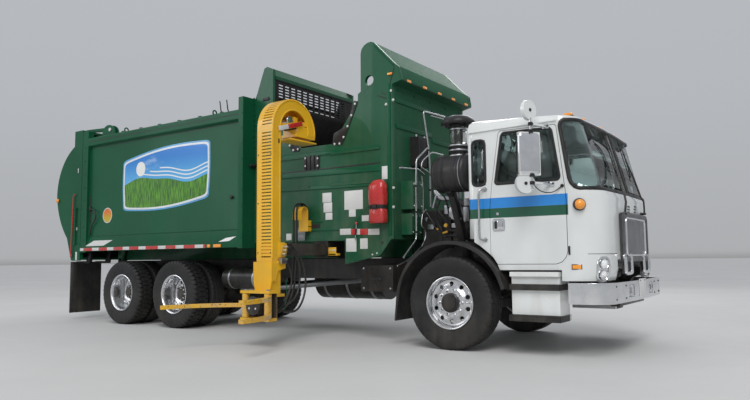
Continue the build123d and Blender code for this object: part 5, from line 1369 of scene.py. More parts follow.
def run(pts, x=PX0, r=0.0115, res=5):
    ps = [at_x(u, v, x) for u, v in pts]
    out = []
    for i, p in enumerate(ps):
        if 0 < i < len(ps) - 1:
            a, b = ps[i - 1] - p, ps[i + 1] - p
            s1 = min(0.05, a.length * 0.4, b.length * 0.4)
            a, b = p + a.normalized() * s1, p + b.normalized() * s1
            for j in range(res + 1):
                t = j / res
                out.append(a * (1 - t) ** 2 + p * (2 * t * (1 - t)) + b * t * t)
        else:
            out.append(p)
    pipes.tube(out, r, 12)
    return ps


run([(444.7, 116.9), (423.0, 111.0), (428.5, 147.0), (430.0, 170.0), (430.4, 207.0)], -0.600)
run([(444.7, 119.4), (431.0, 115.6)], -0.600, 0.008)
run([(427.0, 148.0), (416.2, 159.5), (416.0, 186.0), (416.4, 239.0), (403.7, 257.4)], -0.670, 0.0125)
run([(442.8, 154.9), (431.6, 152.2), (422.5, 160.5), (421.0, 167.5), (428.5, 172.0), (434.8, 182.0)], -0.560, 0.009)
run([(400.0, 167.8), (418.0, 169.0), (424.0, 174.5)], -0.680, 0.010)
run([(426.0, 209.4), (422.3, 214.4), (421.3, 226.0), (425.8, 231.0), (425.3, 239.3), (422.0, 246.0)], -0.620, 0.0095)
run([(422.3, 246.0), (408.0, 260.4), (397.4, 265.8)], -0.700, 0.009)
run([(421.8, 176.0), (423.3, 190.0), (423.0, 214.0)], -0.640, 0.007)
for u, v in ((416.0, 186.0), (416.2, 212.0), (416.4, 232.0)):
    p = at_x(u, v, -0.670)
    dark.slab((0.030, 0.040, 0.028), Matrix.Translation(p), 0.005)
for u, v in ((428.7, 150.5), (430.2, 190.0)):
    p = at_x(u, v, -0.600)
    dark.slab((0.030, 0.036, 0.026), Matrix.Translation(p), 0.005)
# cooler: finned core face, frame, feet
for i in range(15):
    z = 2.262 + 0.0225 * i
    dark.slab((0.006, 0.220, 0.008), Matrix.Translation((-0.757, -0.430, z)), 0.002)
dark.box((-0.762, -0.556, 2.226), (-0.748, -0.540, 2.616), 0.004)
dark.box((-0.762, -0.320, 2.226), (-0.748, -0.304, 2.616), 0.004)
for y in (-0.535, -0.325):
    bolts.rod((-0.800, y, 2.615), (-0.800, y, 2.650), 0.016, 14)
for y in (-0.770, -0.590):
    for z in (1.69, 1.97):
        bolts.bolt((-0.700, y, z), (1, 0, 0), 0.014, 0.010)
for y in (-0.770, -0.590):
    for z in (1.36, 1.57):
        bolts.bolt((-0.720, y, z), (1, 0, 0), 0.011, 0.008)
# engine's side: light round cover, castings, caps
ENG_Y = -0.560
c = at_y(455.9, 211.9, ENG_Y)
q = Matrix.Translation(c) @ Vector((0.12, -1, 0.05)).to_track_quat("Z", "Y").to_matrix().to_4x4()
pale.lathe([(0, 0.012), (0.092, 0.010), (0.104, 0.004), (0.112, -0.010), (0.116, -0.035), (0.108, -0.060), (0.0, -0.060)], q, 48)
eng.slab((0.032, 0.032, 0.016), q @ Matrix.Translation((-0.028, 0.050, 0.014)), 0.004)
for k in range(8):
    a = 2 * pi * k / 8
    eng.rod(q @ Vector((0.099 * cos(a), 0.099 * sin(a), 0.002)), q @ Vector((0.099 * cos(a), 0.099 * sin(a), 0.012)), 0.006, 8)
pale.tube(smooth_path([at_y(434.5, 192.0, ENG_Y + 0.02), at_y(437.5, 196.8, ENG_Y), at_y(443.0, 199.0, ENG_Y),
                       at_y(450.0, 198.6, ENG_Y + 0.03)], resolution=8), 0.034, 20)
pale.rod(at_y(436.2, 195.7, ENG_Y - 0.04), at_y(432.9, 208.2, ENG_Y - 0.04), 0.019, 16)
for (u0, v0, u1, v1) in ((464.4, 198.5, 470.0, 205.5), (463.8, 207.0, 469.5, 221.5), (452.0, 223.2, 459.5, 227.6),
                         (428.2, 224.6, 434.4, 229.2), (425.3, 217.5, 428.0, 221.0), (450.5, 192.5, 459.0, 198.0),
                         (444.8, 205.5, 449.2, 214.0)):
    a, b = at_y(u0, v0, ENG_Y), at_y(u1, v1, ENG_Y)
    pale.box((a.x, ENG_Y - 0.02, b.z), (b.x, ENG_Y + 0.07, a.z), 0.008)
for i in range(12):
    a = at_y(447.0 + 2.0 * i - (12 if i > 5 else 0), 230.5 + (5.0 if i > 5 else 0.0), ENG_Y + 0.03)
    eng.slab((0.030, 0.050, 0.028), Matrix.Translation(a), 0.006)
p = at_y(446.6, 225.8, ENG_Y - 0.02)
yellow.rod(p, p + Vector((0, -0.030, 0.006)), 0.026, 18)
p = at_y(444.5, 233.0, ENG_Y - 0.02)
yellow.rod(p + Vector((-0.02, 0, 0)), p + Vector((0.05, -0.01, 0.015)), 0.014, 12)
yellow.rod(at_y(437.0, 229.0, ENG_Y), at_y(437.6, 229.2, ENG_Y - 0.03), 0.013, 12)
# dark bulk filling the bay behind these
eng.box((-0.300, ENG_Y + 0.03, 1.200), (0.200, ENG_Y + 0.10, 1.760), 0.02)
eng.box((-0.460, ENG_Y + 0.05, 1.150), (-0.320, ENG_Y + 0.12, 1.620), 0.02)
for pts in ([(438.0, 184.0), (441.0, 191.0), (447.0, 201.0), (449.0, 214.0)], [(432.0, 184.0), (433.5, 200.0), (441.0, 218.0), (452.0, 224.0)],
            [(440.5, 200.0), (436.0, 210.0), (436.0, 221.0), (442.0, 230.0)], [(426.5, 213.0), (431.0, 219.0), (437.0, 232.0), (446.0, 237.0)]):
    eng.tube(smooth_path([at_y(u, v, ENG_Y - 0.015) for u, v in pts], resolution=8), 0.011, 10)
pipes.done("bay_pipes", "tube", "bed")
dark.done("bay_dark_parts", "black_satin", "bed")
pale.done("engine_covers", "steel", "chassis")
eng.done("engine_dark_parts", "black_satin", "chassis")
bolts.done("bay_bolts", "tube", "bed")
yellow.done("engine_caps", "yellow", "chassis")

# =============================================================== hopper side
Y0 = -0.980
white, dark, tape_r, tape_w, red, green, steel, bolts = (Kit() for _ in range(8))


def panel(kit_, u0, v0, u1, v1, y=Y0, t=0.003, bevel=0.001):
    a, b = at_y(u0, v0, y), at_y(u1, v1, y)
    kit_.box((a.x, y - t, min(a.z, b.z)), (b.x, y + 0.0005, max(a.z, b.z)), bevel)
    return a, b


for r in ((344.4, 191.2, 363.0, 208.8), (349.0, 209.4, 355.8, 216.5), (322.6, 193.2, 331.6, 202.0), (323.6, 203.0, 332.2, 212.0),
          (325.6, 213.0, 332.4, 219.6), (361.9, 215.4, 371.4, 220.8), (381.9, 166.4, 388.6, 178.8), (346.2, 238.6, 356.5, 251.6),
          (360.2, 238.5, 367.8, 248.8), (286.4, 233.8, 291.6, 240.2)):
    a, b = panel(white, *r)
    for cx_, cz_ in ((a.x + 0.014, a.z - 0.014), (b.x - 0.014, a.z - 0.014), (a.x + 0.014, b.z + 0.014), (b.x - 0.014, b.z + 0.014)):
        bolts.rod((cx_, Y0 - 0.002, cz_), (cx_, Y0 - 0.0055, cz_), 0.0045, 8)
for kit_, u0, u1 in ((tape_w, 340.0, 351.0), (tape_r, 351.2, 355.0), (tape_w, 355.2, 360.0), (tape_r, 360.2, 368.0),
                     (tape_w, 368.2, 379.5)):
    panel(kit_, u0, 229.0, u1, 234.6, t=0.0018, bevel=0.0006)


def rib(kit_, u0, v0, u1, v1, h, y=Y0, proud=0.013):
    """a folded rib: sloping top, short foot, ends chamfered"""
    a, b = at_y(u0, v0, y), at_y(u1, v1, y)
    verts, faces = [], []
    sec = [(0.0, 0.0), (proud * 0.55, 0.25), (proud, 0.72), (proud, 0.94), (0.0, 1.0)]
    for p, e in ((a, 0.0), (a + Vector((0.02, 0, 0)), 1.0), (b - Vector((0.02, 0, 0)), 1.0), (b, 0.0)):
        for d, t in sec:
            verts.append(Vector((p.x, y - d * e - 0.0002, p.z - h * t)))
    for i in range(3):
        for k in range(4):
            faces.append((i * 5 + k, i * 5 + k + 1, (i + 1) * 5 + k + 1, (i + 1) * 5 + k))
    kit_.put(verts, faces)


rib(green, 281.5, 155.6, 379.3, 144.6, 0.062)
rib(green, 281.5, 173.4, 380.2, 164.4, 0.085, proud=0.012)
rib(green, 281.5, 188.3, 372.0, 181.8, 0.055)
# a dark strip in the groove under the middle rib: painted shadow where the upper wall overlaps
a, b = at_y(281.5, 172.6, Y0), at_y(380.2, 163.6, Y0)
dark.box((a.x, Y0 - 0.0025, 0.5 * (a.z + b.z) - 0.010), (b.x, Y0 - 0.0002, 0.5 * (a.z + b.z) + 0.008), 0.0008)
rib(green, 308.5, 221.6, 323.6, 220.9, 0.018, proud=0.010)
rib(green, 306.0, 230.2, 340.0, 229.0, 0.016, proud=0.010)
a, b = panel(dark, 311.4, 224.4, 320.2, 228.2, t=0.0015)
# latch box: four upright ribs and light bolts
a, b = at_y(304.2, 156.2, Y0), at_y(320.0, 168.6, Y0)
dark.box((a.x, Y0 - 0.008, b.z + 0.010), (b.x, Y0, a.z - 0.010), 0.003)
for i in range(4):
    xx = a.x + (b.x - a.x) * (i + 0.5) / 4
    dark.box((xx - 0.020, Y0 - 0.017, b.z), (xx + 0.016, Y0 - 0.004, a.z - (0.015 if i % 2 else 0.0)), 0.004)
for u, v in ((306.0, 158.4), (306.0, 166.2), (318.2, 158.4), (318.2, 165.8)):
    p = at_y(u, v, Y0)
    bolts.rod((p.x, Y0 - 0.012, p.z), (p.x, Y0 - 0.0185, p.z), 0.014, 12)
# dark rubbing strips either side of the loading notch, with light bolts
STRIP_A = [(282.6, 129.0), (287.5, 128.2), (291.5, 128.6), (294.0, 133.0), (300.4, 148.8), (299.0, 151.4), (293.2, 151.8), (290.2, 147.8)]
STRIP_B = [(354.4, 100.8), (357.8, 101.4), (356.9, 105.6), (345.2, 138.2), (341.9, 145.2), (332.8, 144.6), (334.0, 133.7), (347.8, 125.0),
           (352.0, 109.4)]
for outline, pins in ((STRIP_A, ((286.2, 134.8), (289.6, 145.6), (293.2, 150.2), (297.8, 149.2))),
                      (STRIP_B, ((354.8, 103.8), (351.2, 115.3), (347.4, 126.2), (343.4, 137.1), (339.4, 143.6), (334.5, 144.0)))):
    pts = [at_y(u, v, Y0) for u, v in outline]
    dark.prism([(p.x, p.z) for p in pts], lambda a_, b_, c_: Vector((a_, Y0 + 0.001 - c_, b_)), 0.011, 0.002)
    for u, v in pins:
        p = at_y(u, v, Y0 - 0.010)
        bolts.lathe([(0, 0.008), (0.010, 0.007), (0.016, 0.002), (0.016, -0.002), (0.0, -0.002)],
                    Matrix.Translation(p) @ Vector((0, -1, 0)).to_track_quat("Z", "Y").to_matrix().to_4x4(), 14)
# bolt row, stop lever and lug where the body's front wall meets the hopper's side
WALL_X = -3.290
for k in range(12):
    green.rod((WALL_X - 0.004, -1.004, 2.535 + 0.079 * k), (WALL_X + 0.012, -1.004, 2.535 + 0.079 * k), 0.011, 10)
dark.rod((WALL_X + 0.034, -1.112, 2.392), (WALL_X + 0.034, -0.992, 2.402), 0.021, 16)
dark.box((WALL_X - 0.002, -1.040, 2.372), (WALL_X + 0.030, -1.008, 2.422), 0.004)
dark.box((-3.125, Y0 - 0.014, 3.345), (-3.000, Y0 + 0.001, 3.388), 0.006)
# padded red cover of the extinguisher, strapped to the side
c = at_y(378.2, 201.5, Y0 - 0.090)
z_top, z_low = at_y(378, 179.8, Y0 - 0.09).z, at_y(378, 223.3, Y0 - 0.09).z
rows = []
m_ = 28
for f, kx, ky, dx in ((0.0, 0.90, 0.90, 0.0), (0.02, 1.0, 1.0, 0.0), (0.10, 1.02, 1.03, 0.0), (0.30, 0.97, 0.95, 0.002), (0.34, 0.90, 0.88, 0.002),
                      (0.40, 0.90, 0.88, 0.002), (0.44, 0.98, 0.97, 0.0), (0.60, 1.03, 1.02, -0.002), (0.78, 1.0, 1.0, -0.003),
                      (0.86, 1.02, 0.94, -0.002), (0.92, 0.84, 0.78, 0.004), (0.97, 0.62, 0.60, 0.010), (1.0, 0.34, 0.36, 0.014)):
    row = []
    for k in range(m_):
        t = 2 * pi * k / m_
        ct, st = cos(t), sin(t)
        rr = (abs(ct) ** 3.2 + abs(st) ** 3.2) ** (-1 / 3.2)
        row.append(Vector((c.x + dx + 0.118 * kx * rr * ct, c.y + 0.084 * ky * rr * st, z_low + (z_top - z_low) * f)))
    rows.append(row)
verts = [p for row in rows for p in row]
faces = [(i * m_ + k, i * m_ + (k + 1) % m_, (i + 1) * m_ + (k + 1) % m_, (i + 1) * m_ + k) for i in range(len(rows) - 1) for k in range(m_)]
faces += [tuple(range(m_)), tuple(range((len(rows) - 1) * m_, len(rows) * m_))]
red.put(verts, faces)
zs = z_low + (z_top - z_low) * 0.37
strap = []
for k in range(m_ + 1):
    t = 2 * pi * k / m_
    ct, st = cos(t), sin(t)
    rr = (abs(ct) ** 3.2 + abs(st) ** 3.2) ** (-1 / 3.2)
    strap.append(Vector((c.x + 0.111 * rr * ct, c.y + 0.078 * rr * st, zs)))
for dz in (-0.020, -0.010, 0.0, 0.010, 0.020):
    dark.tube([p + Vector((0, 0, dz)) for p in strap], 0.0055, 6, caps=False)
dark.box((c.x - 0.028, c.y - 0.094, zs - 0.030), (c.x + 0.028, c.y - 0.080, zs + 0.030), 0.004)
# pull cable with its knob
green.tube(smooth_path([at_y(369.8, 204.4, Y0 - 0.02), at_y(362.0, 213.0, Y0 - 0.03), at_y(356.4, 221.0, Y0 - 0.02),
                        at_y(352.8, 228.5, Y0 - 0.02)], resolution=6), 0.004, 8)
p = at_y(356.5, 223.3, Y0 - 0.02)
red.lathe([(0, -0.020), (0.014, -0.016), (0.021, 0.0), (0.014, 0.016), (0, 0.020)], Matrix.Translation(p), 16)
steel.rod(p, at_y(355.2, 240.0, Y0 - 0.02), 0.0075, 10)
dark.rod(at_y(356.0, 229.0, Y0 - 0.02), at_y(355.6, 235.0, Y0 - 0.02), 0.012, 10)
# front corner post: raised edge, hinge bolts, skirt hole and screws
a, b = at_y(389.6, 116.0, Y0), at_y(391.6, 236.0, Y0)
green.box((-0.955, Y0 - 0.010, 1.320), (-0.905, Y0 + 0.001, 3.250), 0.003)
for u, v in ((393.5, 100.0), (394.0, 187.8), (394.0, 207.0), (386.5, 104.5)):
    p = at_y(u, v, Y0)
    bolts.bolt((max(p.x, -1.0), Y0 - 0.010, p.z), (0, -1, 0), 0.014, 0.010)
for u, v in ((377.0, 253.2), (372.5, 254.6)):
    p = at_y(u, v, Y0)
    bolts.bolt((p.x, Y0, p.z), (0, -1, 0), 0.009, 0.006)
p = at_y(382.4, 242.8, Y0)
dark.lathe([(0, 0.001), (0.020, 0.001), (0.020, -0.002), (0.0, -0.002)],
           Matrix.Translation((p.x, Y0, p.z)) @ Vector((0, -1, 0)).to_track_quat("Z", "Y").to_matrix().to_4x4(), 18)
# rail under the hood: louvre slots and its light screws
for u0, v0, u1, v1 in ((376.8, 95.4, 388.6, 99.2), (380.8, 92.6, 391.0, 95.8)):
    a, b = at_y(u0, v0, Y0), at_y(u1, v1, Y0)
    d = b - a
    ang = atan2(d.z, d.x)
    dark.slab((d.length, 0.004, 0.014), Matrix.Translation((a + b) / 2) @ Matrix.Rotation(-ang, 4, "Y"), 0.001)
for u, v in ((391.0, 90.6), (386.6, 104.2)):
    p = at_y(u, v, Y0)
    bolts.rod((p.x, Y0, p.z), (p.x, Y0 - 0.008, p.z), 0.016, 12)
p = at_y(394.9, 73.0, Y0)
amber = Kit()
amber.slab((0.070, 0.022, 0.030), Matrix.Translation((min(p.x, -0.90), Y0 - 0.011, p.z)), 0.008)
white.done("hopper_plates", "blank_plate", "bed")
# dark fittings, together with the painted shadow strip in the groove
dark.done("hopper_dark_fittings_and_groove_shadow", "plastic", "bed")
tape_r.done("hopper_tape_red", "tape_red", "bed")
tape_w.done("hopper_tape_white", "tape_white", "bed")
red.done("extinguisher_cover", "red", "bed", 50)
green.done("hopper_ribs", "green", "bed", 25)
steel.done("hopper_cable", "tube", "bed")
bolts.done("hopper_bolts", "tape_white", "bed")
amber.done("hopper_lamp", "amber", "bed")

# =============================================================== arm
XS = -1.9225
hook = Vector((XS, -1.645, 2.655))
yellow, dark, bolts, tape_r, tape_w, steel = (Kit() for _ in range(6))
for side_x, sx in ((XS, 1), (-2.1785, -1)):
    for R_ in (0.392, 0.268):
        pts, nor = [], []
        for k in range(25):
            t = pi * (1.0 - k / 24)
            pts.append(Vector((side_x, hook.y + R_ * cos(t), hook.z + R_ * sin(t))))
        if R_ > 0.3:
            pts = [Vector((side_x, hook.y - R_, z)) for z in (1.05, 1.45, 1.85, 2.25)] + pts
        else:
            pts = [Vector((side_x, hook.y - R_, z)) for z in (1.30, 1.75, 2.2)] + pts
        strip(yellow, pts, 0.010, 0.006, Vector((sx, 0, 0)), closed=False)
# reflective bar across the hook's mouth
a, b = at_x(278.6, 128.4, XS + 0.014), at_x(302.0, 123.6, XS + 0.014)
d = b - a
ang = atan2(d.z, d.y)
for kit_, f0, f1 in ((tape_w, 0.0, 0.40), (tape_r, 0.40, 1.0)):
    m0, m1 = a + d * f0, a + d * f1
    kit_.slab((0.003, (m1 - m0).length, 0.056), Matrix.Translation((m0 + m1) / 2 + Vector((0.005, 0, 0))) @ Matrix.Rotation(ang, 4, "X"), 0.001)
yellow.slab((0.012, d.length * 1.0, 0.062), Matrix.Translation((a + b) / 2 - Vector((0.003, 0, 0))) @ Matrix.Rotation(ang, 4, "X"), 0.003)
# inner drum and tensioner seen through the hook
steel.rod((-2.150, -1.700, 2.790), (-1.950, -1.700, 2.790), 0.055, 24)
yellow.box((-2.140, -1.620, 2.770), (-1.960, -1.545, 2.850), 0.008)
dark.rod((-2.150, -1.585, 2.720), (-1.950, -1.585, 2.720), 0.030, 16)
# flange and worn end of the hook
a, b = at_x(290.6, 138.4, XS), at_x(319.0, 136.9, XS)
yellow.box((-2.176, a.y, min(a.z, b.z) - 0.012), (XS, min(b.y, -1.215), min(a.z, b.z) + 0.010), 0.004)
p = at_x(278.9, 140.8, XS)
dark.box((XS - 0.001, p.y - 0.012, p.z - 0.028), (XS + 0.002, p.y + 0.012, p.z + 0.028), 0.001)
# boom's end block with fittings, ring lug, bars and hoses
yellow.box((-2.160, -1.935, 1.060), (-1.915, -1.822, 1.245), 0.008)
for i, z in enumerate((1.10, 1.145, 1.19)):
    steel.rod((-1.915, -1.885 + 0.018 * i, z), (-1.868, -1.885 + 0.018 * i, z), 0.017, 6)
    steel.rod((-1.872, -1.885 + 0.018 * i, z), (-1.848, -1.885 + 0.018 * i, z), 0.012, 14)
steel.box((-1.912, -1.960, 0.985), (-1.850, -1.865, 1.055), 0.008)
for i in range(4):
    steel.rod((-1.902 + 0.014 * i, -1.865, 1.000 + 0.014 * i), (-1.902 + 0.014 * i, -1.838, 1.000 + 0.014 * i), 0.006, 6)
p = at_x(277.6, 265.0, XS)
yellow.ring(p, (1, 0, 0), 0.048, 0.020, 0.022, 28)
for pts, r in ((((289.0, 243.0), (296.0, 250.0), (303.0, 262.0), (306.5, 282.0), (303.0, 302.0), (294.0, 314.0), (283.0, 311.0)), 0.013),
               (((290.0, 247.0), (299.0, 258.0), (300.5, 280.0), (296.0, 300.0), (285.0, 306.0)), 0.012),
               (((286.5, 262.0), (292.0, 272.0), (291.0, 290.0), (284.0, 301.0)), 0.010)):
    dark.tube(smooth_path([at_x(u, v, -1.900 + 0.02 * i) for i, (u, v) in enumerate(pts)], resolution=8), r, 12)
mast_green = Kit()
mast_green.tube(smooth_path([at_x(286.0, 280.0, -1.90), at_x(287.2, 290.0, -1.89), at_x(286.0, 302.0, -1.90), at_x(284.5, 310.0, -1.91)],
                            resolution=6), 0.005, 8)
# light rim down the mast's outer face and small fixings
for x in (-2.172, -1.929):
    strip(yellow, [Vector((x, -2.0505, z)) for z in (1.05, 1.5, 2.0, 2.6)], 0.006, 0.004, Vector((0, -1, 0)), closed=False)
for z in (1.12, 1.72, 2.32):
    for x in (-2.155, -1.945):
        dark.bolt((x, -2.0500, z), (0, -1, 0), 0.008, 0.006, False)
yellow.done("arm_yellow_trim", "yellow", "arm", 30)
dark.done("arm_dark_fittings", "black_satin", "arm")
tape_r.done("arm_tape_red", "tape_red", "arm")
tape_w.done("arm_tape_white", "tape_white", "arm")
steel.done("arm_fittings", "tube", "arm")
mast_green.done("arm_thin_hose", "green", "arm")
# bracket and braided piece by the hose guide
steel, yellow, bolts, dark = Kit(), Kit(), Kit(), Kit()
for i in range(7):
    for j in range(2):
        p0, p1 = at_y(298.5 + 1.1 * i, 228.0, -1.03), at_y(297.0 + 0.9 * i + 2.0 * j, 240.5, -1.03)
        steel.tube([p0, p1], 0.0045, 6)
# small yellow bracket with light bolts on the sleeve's front flank
yellow.box((-1.930, -0.968, 1.080), (-1.780, -0.900, 1.110), 0.006)
yellow.box((-1.930, -0.968, 1.080), (-1.800, -0.955, 1.190), 0.005)
for x in (-1.905, -1.865, -1.825):
    bolts.rod((x, -0.966, 1.150), (x, -0.9735, 1.150), 0.012, 12)
steel.done("guide_braid", "steel", "bed")
yellow.done("sleeve_bracket", "yellow", "bed")
bolts.done("sleeve_bracket_bolts", "tape_white", "bed")

# gripper: pale finger tips, pivot bolts, and a black rubber pad with light bolts on the carriage
for hand, sgn in (("front", 1), ("rear", -1)):
    bolts, tips = Kit(), Kit()
    tip = Vector((-1.470, -2.985, 0)) if hand == "front" else Vector((-2.810, -2.960, 0))
    root = Vector((-1.870, -2.170, 0)) if hand == "front" else Vector((-2.230, -2.170, 0))
    d = (tip - root).normalized()
    for z in ((0.595, 0.400) if hand == "front" else (0.498,)):
        pts = [tip - d * t + Vector((0, 0, z)) for t in (0.018, 0.0)]
        tips.rod(pts[0], pts[1] - d * 0.002, 0.020, 14)
    for z in (0.322, 0.672):
        bolts.bolt(root + Vector((0, 0, z if z > 0.5 else 0.320)), (0, 0, 1 if z > 0.5 else -1), 0.024, 0.014)
    body_g = "grip_" + hand
    tips.done("finger_tips_" + hand, "tape_white", body_g)
    bolts.done("pivot_bolts_" + hand, "steel", "carriage")
pad, bolts = Kit(), Kit()
for x in (-2.05,):
    q = Matrix.Translation((x, -2.225, 0.496)) @ Vector((0, -1, 0)).to_track_quat("Z", "Y").to_matrix().to_4x4()
    pad.lathe([(0, 0), (0.105, 0), (0.112, 0.006), (0.110, 0.016), (0.070, 0.020), (0.0, 0.020)], q, 36)
    for k in range(3):
        a = 2 * pi * k / 3 + pi / 2
        bolts.rod(q @ Vector((0.060 * cos(a), 0.060 * sin(a), 0.016)), q @ Vector((0.060 * cos(a), 0.060 * sin(a), 0.0245)), 0.012, 12)
pad.box((-2.130, -2.222, 0.400), (-1.970, -2.150, 0.592), 0.010)
pad.done("carriage_pad", "rubber", "carriage")
bolts.done("carriage_pad_bolts", "tape_white", "carriage")

# =============================================================== body side: sign, tapes, lamps, seams
def sign_material():
    """a made-up landscape panel: white edge, blue over rolling green, a pale disc and three sweeps"""
    m = Mat("side_sign")
    x, z = m.xyz(0), m.xyz(2)
    hill = m.math("ADD", m.math("MULTIPLY", m.math("SINE", m.math("MULTIPLY", x, 3.1)), 0.060),
                  m.math("MULTIPLY", m.math("SINE", m.math("MULTIPLY", x, 7.3)), 0.018))
    lift = m.math("SUBTRACT", z, m.math("ADD", hill, 2.330))
    col = m.mix(m.ease(z, 2.3, 2.75), (0.10, 0.42, 0.78), (0.012, 0.20, 0.62))
    cloud = m.ease(m.noise(3.0, 5.0, 0.55, m.scaled(0.6, 1.0, 1.8)), 0.55, 0.72)
    col = m.mix(m.math("MULTIPLY", cloud, 0.35), col, (0.62, 0.76, 0.88))
    blades = m.noise(60.0, 4.0, 0.6, m.scaled(1.0, 1.0, 0.10))
    land = m.mix(m.ease(blades, 0.35, 0.65), (0.010, 0.085, 0.012), (0.12, 0.36, 0.018))
    col = m.mix(m.ease(lift, -0.002, 0.002, 1.0, 0.0), col, land)
    for k in range(3):
        mid = m.math("SUBTRACT", lift, 0.055 + 0.060 * k)
        line = m.band(mid, -0.010, 0.010, 0.0015)
        keep = m.ease(x, -5.75 + 0.25 * k, -5.70 + 0.25 * k)
        col = m.mix(m.math("MULTIPLY", line, keep), col, (0.80, 0.82, 0.82))
    dx = m.math("ADD", x, 5.72)
    dz = m.math("SUBTRACT", z, 2.545)
    d2 = m.math("ADD", m.math("MULTIPLY", dx, dx), m.math("MULTIPLY", dz, dz))
    col = m.mix(m.ease(d2, 0.0140, 0.0146, 1.0, 0.0), col, (0.84, 0.84, 0.80))
    dirt = grime(m, 0.9, 2.8, 0.06)
    m.set(base=m.mix(dirt, col, DUST), coat=0.5)
    m.set(rough=m.ease(m.noise(24.0, 3.0), 0.3, 0.7, 0.18, 0.26))
    return m.normal(m.bump(m.noise(2.1, 2.0), 0.05, 0.01, m.bump(m.noise(420.0, 2.0), 0.04, 0.0005))).m


SIGN = sign_material()
SIGN_EDGE = paint("sign_edge", (0.78, 0.80, 0.82), 0.24, 0.05, 0.9, 2.8, coat=0.4).m
SIGN_GLOW = paint("sign_outer_edge", (0.10, 0.36, 0.66), 0.24, 0.05, 0.9, 2.8, coat=0.4).m
for s, hand in ((-1, "right"), (1, "left")):
    YB = s * 1.1652
    corners = [(-6.12, 1.93), (-4.12, 2.03), (-4.10, 2.80), (-6.14, 2.66)]
    for grow, off, mat, nm in ((0.055, 0.0016, SIGN_GLOW, "sign_outer_"), (0.030, 0.0026, SIGN_EDGE, "sign_border_"),
                               (0.0, 0.0036, SIGN, "sign_face_")):
        cxm, czm = -5.12, 2.355
        pts = []
        for x, z in corners:
            pts.append((x + (grow if x > cxm else -grow), 0, z + (grow if z > czm else -grow)))
        # the long edges bow outwards
        bowed = []
        for i in range(4):
            a, b = Vector(pts[i]), Vector(pts[(i + 1) % 4])
            amp = 0.075 if i in (0, 2) else 0.020
            nrm = Vector(((b - a).z, 0, -(b - a).x)).normalized()
            for k in range(10):
                t = k / 10
                bowed.append(a.lerp(b, t) + nrm * amp * sin(pi * t))
        out = []
        n = len(bowed)
        for i in range(n):
            if i % 10 == 0:
                p0, p1, p2 = bowed[i - 1], bowed[i], bowed[(i + 1) % n]
                for k in range(5):
                    t = k / 4
                    out.append(p0.lerp(p1, 0.4) * (1 - t) ** 2 + p1 * (2 * t * (1 - t)) + p1.lerp(p2, 0.6) * t * t)
            else:
                out.append(bowed[i])
        kit = Kit()
        kit.prism([(p.x, p.z) for p in out], lambda a_, b_, c_: Vector((a_, YB + s * (c_ - 0.0012), b_)), off + 0.0012)
        kit.done(nm + hand, mat, "bed")

